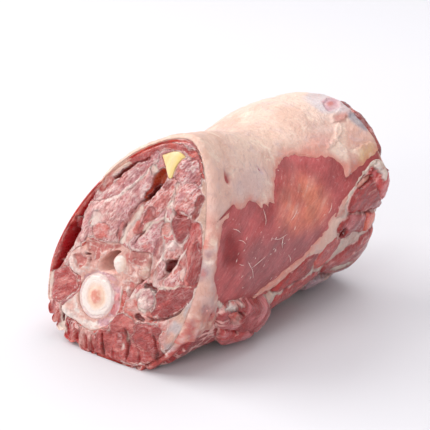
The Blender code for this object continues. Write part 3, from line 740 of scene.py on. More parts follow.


# Lines across the cut face: tissue, half width, how far the line stands up, and its x and z points. The gap
# lines sink into grooves, and their dark red-brown is painted shade there.
FACE_LINES = (
    ("fascia", 1.0, 0.5, (
        2.2, 88.2, -0.6, 84.2, -5.2, 79.8, -9.9, 75, -14.7, 71, -20.9, 67.1, -26.2, 62, -29, 56.1)),
    ("cream", 1.15, 0.6, (17.9, 83.4, 16.5, 77.3, 15.8, 72.9, 13.6, 68.2, 8.8, 64.6, 4.2, 60.2, 1.8, 55.4)),
    ("gap", 0.55, -2.0, (3.6, 74.6, -1.8, 70.4, -5.1, 64.9, -8.1, 57.4)),
    ("gap", 0.50, -1.4, (4.4, 60.4, 0.4, 54.8, -1.4, 52)),
    ("gap", 0.40, -1.2, (17.8, 72.2, 20.8, 70.7, 26.3, 71.1, 31.2, 73.8)),
    ("fascia", 0.8, 0.4, (23.9, 61.8, 20.7, 56.9, 17.2, 51.8, 14.9, 47.8, 13.3, 45)),
    ("fascia", 0.6, 0.3, (30.4, 60, 27.4, 54, 25.6, 48, 24.4, 44)),
    ("gap", 0.65, -2.2, (26.2, 54, 25.2, 52, 22.8, 48.2, 20.3, 44, 17.7, 40.9)),
    ("cream", 0.65, 0.3, (18.3, 37.6, 24, 39.2, 28.9, 41.1, 36.2, 42.9)),
    ("gap", 0.50, -1.4, (13.6, 24.4, 20, 24, 27.6, 27.6, 33.4, 32)),
    ("maroon", 0.55, -1.7, (-31.8, 10.1, -30, 4, -29, -0.1)),
    ("maroon", 0.60, -2.0, (-26.4, 9.4, -24, 4, -23.6, 0)),
    ("maroon", 0.60, -2.0, (-20.4, 8.5, -18.6, 4, -17.6, 0.4)),
    ("maroon", 0.55, -2.0, (-15.6, 8, -13.8, 3, -12.6, 0.1)),
    ("gap", 0.50, -1.8, (-9.8, 11, -8.4, 6, -6.1, 0.2)),
    ("maroon", 0.40, -1.2, (-2.4, 6.4, -0.8, 3.6, -0.2, 0.6)),
    ("gap", 0.60, -1.7, (2.6, 15.6, 6.6, 9, 7.4, 2)),
    ("maroon", 0.40, -1.2, (13.2, 9.6, 14.4, 6.6, 14, 3.2)),
    ("gap", 0.55, -1.6, (19.6, 18.6, 23.4, 12, 23, 6)),
)


def line_distance(places, path):
    """Distance in millimetres from each place to an open line, and how far along it the place lies."""
    line = open_curve(path, 36)
    apart = np.linalg.norm(places[:, None, :] - line[None, :, :], axis=2)
    return apart.min(axis=1), apart.argmin(axis=1) / 35.0


FAT_PAD_PLACE = (
    26, 26.5, 30, 29, 33, 32, 37, 40, 41, 42, 42, 30, 38, 18, 30, 12, 25, 14.5, 24, 16, 22.5, 18.5,
    26, 22)

# ---------------------------------------------------------------- mesh helpers


def add_piece(name, mesh, nodes):
    """Adds a finished mesh as a piece that rides on the neck's one body."""
    piece = bpy.data.objects.new(name, mesh)
    bpy.context.scene.collection.objects.link(piece)
    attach(piece, "root")
    for node_name in nodes:
        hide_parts(node_name)
    return piece


def make_piece(name, points, faces, fields, finish, node):
    """A finished piece from points in millimetres, with its colour and grain as attributes."""
    mesh = bpy.data.meshes.new(name)
    mesh.from_pydata(((points - ORIGIN) * MM).tolist(), [], faces)
    for field, values in fields.items():
        if field == "grain":
            layer = mesh.attributes.new(field, "FLOAT_VECTOR", "POINT")
            layer.data.foreach_set("vector", np.ascontiguousarray(values, dtype=np.float32).ravel())
            continue
        layer = mesh.attributes.new(field, "FLOAT_COLOR", "POINT")
        filled = np.ones((len(points), 4), dtype=np.float32)
        filled[:, : values.shape[1]] = values
        layer.data.foreach_set("color", filled.ravel())
    mesh.shade_smooth()
    mesh.validate()
    mesh.materials.append(material(finish))
    return add_piece(name, mesh, (node,))


def kept_cells(distance, edge):
    """Which cells of a grid stay, with none that touch only at a corner."""
    corners = distance > edge
    kept = corners[:-1, :-1] & corners[1:, :-1] & corners[:-1, 1:] & corners[1:, 1:]
    while True:
        padded = np.pad(kept, 1)
        a = padded[:-1, :-1]
        b = padded[1:, :-1]
        c = padded[:-1, 1:]
        d = padded[1:, 1:]
        pinch = (a & d & ~b & ~c) | (b & c & ~a & ~d)
        if not pinch.any():
            return kept
        kept = kept & ~(pinch[:-1, :-1] | pinch[1:, :-1] | pinch[:-1, 1:] | pinch[1:, 1:])


def cut_grid(box, pitch, distance_at):
    """Points and quads of a flat grid inside a distance of zero, its edge moved onto the outline."""
    xs = np.arange(box[0], box[1] + pitch, pitch)
    zs = np.arange(box[2], box[3] + pitch, pitch)
    grid_x, grid_z = np.meshgrid(xs, zs, indexing="ij")
    places = np.column_stack((grid_x.ravel(), grid_z.ravel()))
    distance = distance_at(places).reshape(grid_x.shape)
    kept = kept_cells(distance, -0.45 * pitch)
    slope_x, slope_z = np.gradient(distance, pitch)
    counts = np.zeros(grid_x.shape, dtype=int)
    for di in (0, 1):
        for dj in (0, 1):
            counts[di : counts.shape[0] - 1 + di, dj : counts.shape[1] - 1 + dj] += kept
    edge = (counts > 0) & (counts < 4)
    steep = np.maximum(slope_x**2 + slope_z**2, 0.25)
    move = np.clip(distance, -0.9 * pitch, 0.9 * pitch)
    moved_x = np.where(edge, grid_x - move * slope_x / steep, grid_x)
    moved_z = np.where(edge, grid_z - move * slope_z / steep, grid_z)
    numbers = np.full(grid_x.shape, -1)
    used = counts > 0
    numbers[used] = np.arange(used.sum())
    points = np.column_stack((moved_x[used], moved_z[used]))
    i, j = np.nonzero(kept)
    quads = np.column_stack((numbers[i, j], numbers[i + 1, j], numbers[i + 1, j + 1], numbers[i, j + 1]))
    return points, quads


def edge_loops(quads):
    """The open edges of a sheet, in the direction its faces run."""
    starts = quads.ravel()
    ends = np.roll(quads, -1, axis=1).ravel()
    size = int(quads.max()) + 1
    forward = starts * size + ends
    backward = ends * size + starts
    lonely = ~np.isin(forward, backward)
    return np.column_stack((starts[lonely], ends[lonely]))


def flat_fill(places, edges):
    """Triangles that fill the flat shape bounded by the edges, leaving its holes open."""
    numbers = np.unique(edges)
    order = {int(number): index for index, number in enumerate(numbers)}
    coords = [Vector(places[number]) for number in numbers]
    lines = [(order[int(a)], order[int(b)]) for a, b in edges]
    found = delaunay_2d_cdt(coords, lines, [], 2, 1e-7)
    verts, triangles, sources = found[0], found[2], found[3]
    filled = []
    for triangle in triangles:
        corners = [verts[index] for index in triangle]
        turn = (corners[1] - corners[0]).cross(corners[2] - corners[0])
        ids = [int(numbers[sources[index][0]]) for index in triangle]
        filled.append(ids if turn > 0 else ids[::-1])
    return filled


def solid_from_sheet(front, faces, edges, rows, back_faces, back_points):
    """Joins a front sheet, wall rows that start at its edges, and a back."""
    rim = np.unique(edges)
    order = {int(number): index for index, number in enumerate(rim)}
    points = [front]
    all_faces = list(faces)
    previous = {int(number): int(number) for number in rim}
    offset = len(front)
    for row in rows:
        points.append(row)
        current = {int(number): offset + order[int(number)] for number in rim}
        for a, b in edges:
            a, b = int(a), int(b)
            all_faces.append((previous[b], previous[a], current[a], current[b]))
        previous = current
        offset += len(row)
    if back_points is None:
        for face in back_faces:
            all_faces.append(tuple(previous[number] for number in reversed(face)))
    else:
        points.append(back_points)
        for a, b in edges:
            a, b = int(a), int(b)
            all_faces.append((previous[b], previous[a], offset + a, offset + b))
        for face in back_faces:
            all_faces.append(tuple(offset + int(number) for number in reversed(face)))
    return np.vstack(points), all_faces


def face_point(places, height, rear=False):
    """Points that stand out from a cut face by a height, from x and z on it."""
    if rear:
        return np.column_stack((places[:, 0], REAR_Y + height, places[:, 1]))
    slope = math.atan(FACE_LEAN)
    y = FACE_Y + FACE_LEAN * places[:, 1] - height * math.cos(slope)
    return np.column_stack((places[:, 0], y, np.maximum(places[:, 1] + height * math.sin(slope), 0.0)))


def front_of_rear(places):
    """Where a place on the rear cut lies on the map of the front cut."""
    share = np.maximum(places[:, 1] - 50.0, 0.0) / 40.7
    z = np.where(places[:, 1] > 50.0, 50.0 + 54.0 * share, places[:, 1])
    return np.column_stack((places[:, 0] + 20.0 * share, z))


def lip_width(degrees):
    return np.interp((degrees + 90.0) % 360.0 - 90.0, LIP_ANGLES, LIP_WIDTHS)


def edge_radius(degrees):
    return np.interp((degrees + 90.0) % 360.0 - 90.0, LIP_ANGLES, EDGE_RADII)


def end_outline(along, inset_extra):
    degrees = even_angles(241)[:-1]
    ring = surface(np.full(len(degrees), float(along)), degrees, -(lip_width(degrees) + inset_extra))
    return ring[:, (0, 2)]


# ---------------------------------------------------------------- materials


class Nodes:
    """A short way to write a node tree."""

    def __init__(self, tree):
        self.tree = tree

    def add(self, kind, inputs=None, **settings):
        node = self.tree.nodes.new(kind)
        for name, value in settings.items():
            setattr(node, name, value)
        for name, value in (inputs or {}).items():
            self.put(node.inputs[name], value)
        return node

    def put(self, socket, value):
        if isinstance(value, bpy.types.NodeSocket):
            self.tree.links.new(value, socket)
        else:
            socket.default_value = value

    def math(self, operation, first, second=0.0):
        return self.add("ShaderNodeMath", {0: first, 1: second}, operation=operation).outputs[0]

    def times(self, first, second):
        return self.math("MULTIPLY", first, second)

    def plus(self, first, second):
        return self.math("ADD", first, second)

    def attribute(self, name, output="Color"):
        return self.add("ShaderNodeAttribute", attribute_name=name).outputs[output]

    def place(self):
        return self.add("ShaderNodeTexCoord").outputs["Object"]

    def bent(self, vector, bend):
        return self.add("ShaderNodeVectorMath", {0: vector, 1: bend}, operation="ADD").outputs[0]

    def shade(self, colour, value):
        grey = self.add("ShaderNodeCombineColor", {0: value, 1: value, 2: value}).outputs[0]
        return self.blend(1.0, colour, grey, "MULTIPLY")

    def ramp(self, value, low, high, start=0.0, end=1.0):
        inputs = {"Value": value, "From Min": low, "From Max": high, "To Min": start, "To Max": end}
        node = self.add("ShaderNodeMapRange", inputs, interpolation_type="SMOOTHSTEP")
        return node.outputs["Result"]

    def blend(self, share, first, second, way="MIX"):
        node = self.add("ShaderNodeMix", data_type="RGBA", blend_type=way)
        self.put(node.inputs["Factor"], share)
        self.put(node.inputs[6], first)
        self.put(node.inputs[7], second)
        return node.outputs[2]

    def stretch(self, vector, scale):
        node = self.add("ShaderNodeMapping", {"Vector": vector, "Scale": scale})
        return node.outputs["Vector"]

    def noise(self, vector, scale, detail=3.0, rough=0.55):
        inputs = {"Vector": vector, "Scale": scale, "Detail": detail, "Roughness": rough}
        return self.add("ShaderNodeTexNoise", inputs).outputs["Fac"]

    def cells(self, vector, scale, feature="DISTANCE_TO_EDGE", spread=1.0):
        inputs = {"Vector": vector, "Scale": scale, "Randomness": spread}
        return self.add("ShaderNodeTexVoronoi", inputs, feature=feature).outputs["Distance"]


def new_material(name):
    material = bpy.data.materials.new(name)
    material.use_nodes = True
    nodes = Nodes(material.node_tree)
    material.node_tree.nodes.clear()
    shader = nodes.add("ShaderNodeBsdfPrincipled")
    output = nodes.add("ShaderNodeOutputMaterial")
    material.node_tree.links.new(shader.outputs[0], output.inputs[0])
    return material, nodes, shader


def wet(shader, coat, coat_rough, under, radius):
    """A wet clear coat over flesh that lets a little light in."""
    shader.inputs["Coat Weight"].default_value = coat
    shader.inputs["Coat Roughness"].default_value = coat_rough
    shader.inputs["Subsurface Weight"].default_value = under
    shader.inputs["Subsurface Radius"].default_value = radius
    shader.inputs["Subsurface Scale"].default_value = 0.0010


def surface_of(nodes, shader, colour, rough, relief, strength, distance):
    """Plugs the colour, the roughness and the fine relief into the shader."""
    bump = nodes.add("ShaderNodeBump", {"Strength": strength, "Distance": distance, "Height": relief})
    nodes.put(shader.inputs["Base Color"], colour)
    nodes.put(shader.inputs["Roughness"], rough)
    nodes.put(shader.inputs["Normal"], bump.outputs[0])


def cut_muscle_material():
    """Wet muscle cut across: short fibres, fine bundles, pale flecks that are partly painted glints, seams,
    and painted shade along the seams.
    """
    material, nodes, shader = new_material("Cut_muscle")
    tissue = nodes.attribute("tone")
    grain = nodes.attribute("grain", "Vector")
    finish = nodes.attribute("finish")
    muscle, seam, paleness = nodes.add("ShaderNodeSeparateColor", {"Color": finish}).outputs
    place = nodes.place()
    bend = nodes.times(nodes.noise(place, 300.0, 3.0), 2.6)
    warped = nodes.bent(grain, bend)
    fibres = nodes.noise(nodes.stretch(warped, (0.34, 1.5, 1.0)), 1.0, 5.0, 0.66)
    short = nodes.noise(nodes.stretch(warped, (0.55, 2.1, 1.0)), 1.0, 3.0, 0.6)
    bundles = nodes.cells(nodes.stretch(warped, (0.24, 0.90, 1.0)), 1.0)
    fine = nodes.cells(nodes.stretch(warped, (1.3, 2.4, 1.0)), 1.0)
    mottle = nodes.noise(place, 150.0, 3.0, 0.6)
    meaty = nodes.plus(nodes.times(muscle, 0.8), 0.2)
    shade = nodes.times(nodes.ramp(fibres, 0.34, 0.56, 0.62, 0.0), meaty)
    dark = nodes.blend(shade, tissue, (0.50, 0.17, 0.16, 1.0), "MULTIPLY")
    # Pale streaks on the fibres, partly the fibres' own colour and partly painted highlight.
    light = nodes.times(nodes.ramp(fibres, 0.52, 0.74, 0.0, 0.55), nodes.math("POWER", paleness, 1.6))
    toned = nodes.blend(nodes.times(light, muscle), dark, (0.82, 0.58, 0.55, 1.0))
    lines = nodes.times(nodes.ramp(bundles, 0.03, 0.16, 0.60, 0.0), nodes.ramp(mottle, 0.47, 0.60))
    lines = nodes.times(lines, nodes.math("POWER", paleness, 1.6))
    toned = nodes.blend(nodes.times(lines, muscle), toned, (0.88, 0.68, 0.64, 1.0))
    # Pale specks, partly pale tissue and partly painted glints.
    specks = nodes.times(nodes.ramp(short, 0.58, 0.72, 0.0, 0.7), nodes.ramp(mottle, 0.40, 0.58))
    specks = nodes.times(specks, paleness)
    toned = nodes.blend(nodes.times(specks, muscle), toned, (0.86, 0.70, 0.70, 1.0))
    # A darker red along the seams is painted shade.
    edge = nodes.times(nodes.ramp(seam, 0.0, 0.05, 0.14, 0.0), nodes.ramp(mottle, 0.54, 0.64))
    toned = nodes.blend(edge, toned, (0.55, 0.10, 0.08, 1.0), "MULTIPLY")
    plain = nodes.ramp(mottle, 0.35, 0.65, 0.90, 1.08)
    toned = nodes.shade(toned, plain)
    wet(shader, 0.66, 0.10, 0.08, (1.0, 0.30, 0.22))
    rough = nodes.ramp(short, 0.35, 0.70, 0.22, 0.48)
    relief = nodes.plus(nodes.times(fibres, 0.8), nodes.times(short, 0.35))
    relief = nodes.plus(relief, nodes.times(nodes.ramp(fine, 0.0, 0.25), 0.12))
    surface_of(nodes, shader, toned, rough, relief, 1.0, 0.0012)
    return material


def flank_muscle_material():
    """Smooth outer muscle under its thin skin: long faint fibres, pale streaks and a soft shine."""
    material, nodes, shader = new_material("Flank_muscle")
    tissue = nodes.attribute("tone")
    grain = nodes.attribute("grain", "Vector")
    finish = nodes.attribute("finish")
    muscle = nodes.add("ShaderNodeSeparateColor", {"Color": finish}).outputs[0]
    place = nodes.place()
    bend = nodes.times(nodes.noise(place, 110.0, 3.0), 3.0)
    warped = nodes.bent(grain, bend)
    fibres = nodes.noise(nodes.stretch(warped, (0.20, 0.95, 1.0)), 1.0, 5.0, 0.66)
    fine = nodes.noise(nodes.stretch(warped, (0.30, 3.4, 1.0)), 1.0, 3.0, 0.6)
    mottle = nodes.noise(place, 95.0, 4.0, 0.6)
    speck = nodes.noise(place, 620.0, 3.0, 0.6)
    dark = nodes.blend(nodes.ramp(fibres, 0.34, 0.58, 0.42, 0.0), tissue, (0.62, 0.30, 0.32, 1.0), "MULTIPLY")
    light = nodes.times(nodes.ramp(fine, 0.56, 0.74, 0.0, 0.30), muscle)
    toned = nodes.blend(light, dark, (0.72, 0.36, 0.33, 1.0))
    streak = nodes.times(nodes.ramp(fibres, 0.60, 0.74, 0.0, 0.4), nodes.ramp(mottle, 0.46, 0.64))
    toned = nodes.blend(nodes.times(streak, muscle), toned, (0.84, 0.64, 0.60, 1.0))
    specks = nodes.times(nodes.ramp(speck, 0.60, 0.74, 0.0, 0.35), muscle)
    toned = nodes.blend(specks, toned, (0.78, 0.52, 0.50, 1.0))
    plain = nodes.ramp(mottle, 0.32, 0.68, 0.80, 1.14)
    toned = nodes.shade(toned, plain)
    shader.inputs["Specular IOR Level"].default_value = 0.35
    wet(shader, 0.16, 0.22, 0.10, (1.0, 0.32, 0.24))
    rough = nodes.ramp(speck, 0.3, 0.7, 0.30, 0.50)
    relief = nodes.plus(nodes.times(fibres, 0.7), nodes.times(fine, 0.3))
    relief = nodes.plus(relief, nodes.times(speck, 0.25))
    surface_of(nodes, shader, toned, rough, relief, 0.8, 0.0004)
    return material


def fat_material():
    """Soft outer fat: cream to pink lumps, thin grey films, faint vessels and fine creases."""
    material, nodes, shader = new_material("Outer_fat")
    tissue = nodes.attribute("tone")
    place = nodes.place()
    bend = nodes.add("ShaderNodeTexNoise", {"Vector": place, "Scale": 60.0, "Detail": 2.0}).outputs["Color"]
    strength = nodes.add("ShaderNodeVectorMath", {0: bend, "Scale": 0.010}, operation="SCALE").outputs[0]
    warped = nodes.bent(place, strength)
    broad = nodes.noise(place, 42.0, 4.0, 0.6)
    middle = nodes.noise(warped, 130.0, 4.0, 0.6)
    fine = nodes.noise(warped, 520.0, 4.0, 0.62)
    grit = nodes.noise(place, 1500.0, 2.0, 0.6)
    vessels = nodes.cells(warped, 52.0)
    toned = nodes.blend(nodes.ramp(broad, 0.46, 0.64, 0.0, 0.60), tissue, (0.84, 0.68, 0.62, 1.0), "MULTIPLY")
    toned = nodes.blend(nodes.ramp(middle, 0.52, 0.68, 0.0, 0.42), toned, (0.62, 0.44, 0.42, 1.0))
    toned = nodes.blend(nodes.ramp(middle, 0.30, 0.46, 0.40, 0.0), toned, (0.90, 0.76, 0.62, 1.0))
    lines = nodes.times(nodes.ramp(vessels, 0.004, 0.02, 0.16, 0.0), nodes.ramp(broad, 0.48, 0.60))
    toned = nodes.blend(lines, toned, (0.42, 0.24, 0.30, 1.0))
    toned = nodes.blend(nodes.ramp(fine, 0.56, 0.72, 0.0, 0.42), toned, (0.56, 0.34, 0.32, 1.0))
    hair = nodes.cells(nodes.stretch(warped, (1.0, 0.55, 1.0)), 210.0)
    thin = nodes.times(nodes.ramp(hair, 0.0, 0.03, 0.30, 0.0), nodes.ramp(middle, 0.56, 0.66))
    toned = nodes.blend(thin, toned, (0.34, 0.22, 0.24, 1.0))
    wet(shader, 0.18, 0.28, 0.16, (1.0, 0.55, 0.42))
    rough = nodes.ramp(fine, 0.3, 0.7, 0.36, 0.56)
    relief = nodes.plus(middle, nodes.times(fine, 0.45))
    relief = nodes.plus(relief, nodes.times(grit, 0.10))
    surface_of(nodes, shader, toned, rough, relief, 0.95, 0.0010)
    return material


def tissue_material(name, scale, depth, rough, coat, stain, stain_share):
    """Bone, cartilage, ligament and membrane: the piece's own tones, a stain and a fine relief."""
    material, nodes, shader = new_material(name)
    tissue = nodes.attribute("tone")
    place = nodes.place()
    broad = nodes.noise(place, scale * 0.35, 3.0, 0.6)
    fine = nodes.noise(place, scale, 5.0, 0.64)
    pores = nodes.cells(place, scale * 0.9, "F1")
    toned = nodes.blend(nodes.ramp(fine, 0.52, 0.72, 0.0, stain_share), tissue, stain)
    toned = nodes.blend(nodes.ramp(broad, 0.50, 0.68, 0.0, 0.6 * stain_share), toned, stain)
    wet(shader, coat, 0.16, 0.18, (1.0, 0.6, 0.45))
    varied = nodes.ramp(fine, 0.3, 0.7, rough - 0.1, rough + 0.12)
    relief = nodes.plus(fine, nodes.times(nodes.ramp(pores, 0.0, 0.4), 0.35))
    surface_of(nodes, shader, toned, varied, relief, 0.7, depth)
    return material


# Scale, relief in metres, roughness, coat, stain and how strong the stain is.
TISSUES = {
    "Bone": (900.0, 0.0006, 0.42, 0.22, (0.66, 0.34, 0.29, 1.0), 0.45),
    "Cartilage": (380.0, 0.00015, 0.30, 0.45, (0.86, 0.74, 0.70, 1.0), 0.4),
    "Ligament": (420.0, 0.00020, 0.34, 0.40, (0.80, 0.58, 0.26, 1.0), 0.35),
    "Membrane": (520.0, 0.00025, 0.36, 0.40, (0.72, 0.44, 0.42, 1.0), 0.4),
}


def material(name):
    """The named material, made on its first use."""
    found = bpy.data.materials.get(name)
    if found:
        return found
    if name in TISSUES:
        return tissue_material(name, *TISSUES[name])
    makers = {"Cut_muscle": cut_muscle_material, "Flank_muscle": flank_muscle_material}
    makers["Outer_fat"] = fat_material
    return makers[name]()


# ---------------------------------------------------------------- pieces


def backed_sheet(front, places, quads, edges, rows, turned):
    """A closed solid: a shaped front sheet, wall rows that start at its edge, and a plain back."""
    back = flat_fill(places, edges)
    points, faces = solid_from_sheet(front, quads.tolist(), edges, rows, back, None)
    return points, [face[::-1] for face in faces] if turned else faces


def build_cut(name, rear, seed):
    """One cut face of the muscles, as a thick slab with the bone's canal left open."""
    outline = end_outline(4.0 if rear else 0.0, -0.9)
    canal = oval(TUNNEL_MIDDLE, TUNNEL_HALF, TUNNEL_SLOPE)

    def distance_at(places):
        return np.minimum(inside_distance(places, outline), -inside_distance(places, canal))

    places, quads = cut_grid((-49.0, 48.0, 0.0, 105.0), 0.34, distance_at)
    edge = distance_at(places)
    rim = inside_distance(places, outline)
    mapped = front_of_rear(places) if rear else places
    if rear:
        flat = upright(mapped, 50.0)
        calm = smooth(2.0, 14.0, -inside_distance(places, closed_curve(BONE_OUTLINE), 16.0))
        mapped = mapped + (wander(flat, 19.0, 90) * 4.0) * calm[:, None]
    height, tones, grain, seam, muscle = face_fields(mapped, seed)
    bone = inside_distance(places, closed_curve(BONE_OUTLINE))
    height = mix(height, -2.6, smooth(0.3, 1.6, bone))
    ligament_at = front_of_rear(places) if rear else places
    ligament = inside_distance(ligament_at, closed_curve(LIGAMENT_OUTLINE))
    height = mix(height, -2.4, smooth(0.3, 1.3, ligament))
    height = mix(height - 2.4, height, smooth(0.0, 1.5, rim))
    height = np.where(height < -1.5, height, np.minimum(height, 2.4))
    front = face_point(places, height, rear)
    edges = edge_loops(quads)
    rim_numbers = np.unique(edges)
    outer = inside_distance(places[rim_numbers], outline) < 1.0
    inner_places = places[rim_numbers].copy()
    inner_places[outer] = inner_places[outer] * 0.965 + np.array((-1.0, 46.0)) * 0.035
    deep = face_point(inner_places, np.full(len(rim_numbers), -18.0), rear)
    points, faces = backed_sheet(front, places, quads, edges, (deep,), rear)
    fade = smooth(0.0, 1.0, edge)
    finish = np.column_stack((muscle * fade, np.clip(seam / 6.0, 0.0, 1.0), muscle))
    pick = np.concatenate((np.arange(len(places)), rim_numbers))
    fields = {"tone": tones[pick], "grain": grain[pick], "finish": finish[pick]}
    return make_piece(name, points, faces, fields, "Cut_muscle", "muscle")


def flank_fields(points, degrees):
    """Colour, grain, finish and small relief of the outer muscle at each point."""
    side = points[:, (1, 2)]
    right = (degrees > -90.0) & (degrees < 80.0)
    warp = wander(points, 5.0, 21) * 0.9
    tones = np.tile(tone("red") * 0.62 + tone("mauve") * 0.38, (len(points), 1))
    tones = np.where(right[:, None], tones, 0.5 * tones + 0.5 * tone("mauve") * 0.9)
    slope = np.radians(np.where(right, 35.0, -6.0))
    run = side[:, 0] * np.cos(slope) + side[:, 1] * np.sin(slope)
    across = side[:, 1] * np.cos(slope) - side[:, 0] * np.sin(slope)
    across = np.where(np.abs(np.sin(np.radians(degrees))) > 0.8, points[:, 0], across)
    streak = np.column_stack((run, np.full(len(points), 3.0), across))
    blend = smooth(-0.5, 0.6, layered(streak, (22.0, 9.0, 5.0), 23))
    tones = tint(tones, "deep", 0.50 * blend)
    relief = 0.30 * layered(streak, (24.0, 9.0, 3.4), 24) + 0.14 * ridged(streak, (12.0, 9.0, 1.6), 29)

    def place_share(outline, soft):
        return smooth(-soft, soft, inside_distance(side + warp, closed_curve(outline), 14.0)) * right

    orange = place_share(ORANGE_PLACE, 7.0)
    blotch = smooth(-0.5, 0.4, layered(points, 8.0, 35))
    tones = tint(tones, "orange", (0.45 + 0.5 * blotch) * orange)
    film = smooth(-0.1, 0.6, layered(streak, (9.0, 9.0, 2.2), 25)) * orange
    film = film * smooth(-0.4, 0.5, noise(points, 17.0, 30))
    tones = tint(tones, "cream", 0.30 * film)
    tones = tones * (1.0 - (smooth(104.0, 118.0, side[:, 0]) * right)[:, None] * np.array((0.16, 0.30, 0.30)))
    purple = place_share(LOW_PURPLE, 6.0)
    tones = tint(tones, "mauve", 0.55 * purple, 0.62)
    dark = place_share(DARK_STRIPE, 3.0)
    tones = mix(tones, tone("maroon") * np.array((0.52, 0.2, 0.2)), (0.85 * dark)[:, None])
    relief = relief - 1.3 * dark
    bare = 1.0 - 0.85 * dark
    # Gap red painted into the sunken hollow is painted shade.
    hollow = place_share(HOLLOW, 1.0)
    tones = tint(tones, "gap", 0.8 * hollow)
    relief = relief - 2.4 * hollow
    # Long strips with pale seams between them on the hidden left side and underneath.
    girth = np.where(right, 0.0, degrees * 0.8)
    strip = girth / 13.0 + 0.35 * layered(streak, (40.0, 9.0, 14.0), 26)
    seam_line = np.abs(strip - np.round(strip)) * 13.0
    seams = (1.0 - smooth(0.3, 1.3, seam_line)) * ~right * smooth(-0.1, 0.5, layered(points, 14.0, 27))
    tones = tint(tones, "cream", 0.60 * seams)
    relief = relief - 0.5 * seams
    patch = smooth(0.10, 0.45, layered(points + warp[:, :1], (13.0, 19.0, 9.0), 36)) * ~right
    tones = mix(tones, mottle("rim", "cream", blend), (0.72 * patch)[:, None])
    relief = relief + 0.5 * patch
    low = smooth(-34.0, -52.0, degrees) * right
    lower = np.abs(layered(streak, (44.0, 9.0, 8.0), 28))
    low_seams = (1.0 - smooth(0.04, 0.16, lower)) * low
    tones = tint(tones, "fascia", 0.7 * low_seams)
    relief = relief - 0.5 * low_seams
    muscle = (1.0 - np.clip(seams + low_seams + patch, 0.0, 1.0)) * bare
    grain = np.column_stack((run, across, np.full(len(points), 1.0)))
    return tones, grain, muscle, relief


BODY_ROWS = 196
FAT_ROWS = 206
REAR_STEP = 34.0


def front_step(degrees):
    """Millimetres between the first two stations, at each angle of the leaning face."""
    return 38.0 - 0.10 * surface(np.zeros(len(degrees)), degrees, 0.0)[:, 2]


def fat_gap(points, degrees):
    """How deep each point lies inside a bare place in the fat, in millimetres, below zero in fat."""
    side = points[:, (1, 2)]
    warp = wander(points, 4.0, 31) * 0.9
    warp += wander(points, 1.6, 33) * 0.35
    right = (degrees > -90.0) & (degrees < 75.0)
    left = degrees > 115.0
    gap = np.full(len(points), -9.0)
    for windows, on_side in ((RIGHT_WINDOWS, right), (LEFT_WINDOWS, left)):
        for window in windows:
            depth = inside_distance(side + warp, closed_curve(window), 9.0)
            gap = np.where(on_side, np.maximum(gap, depth), gap)
    return gap


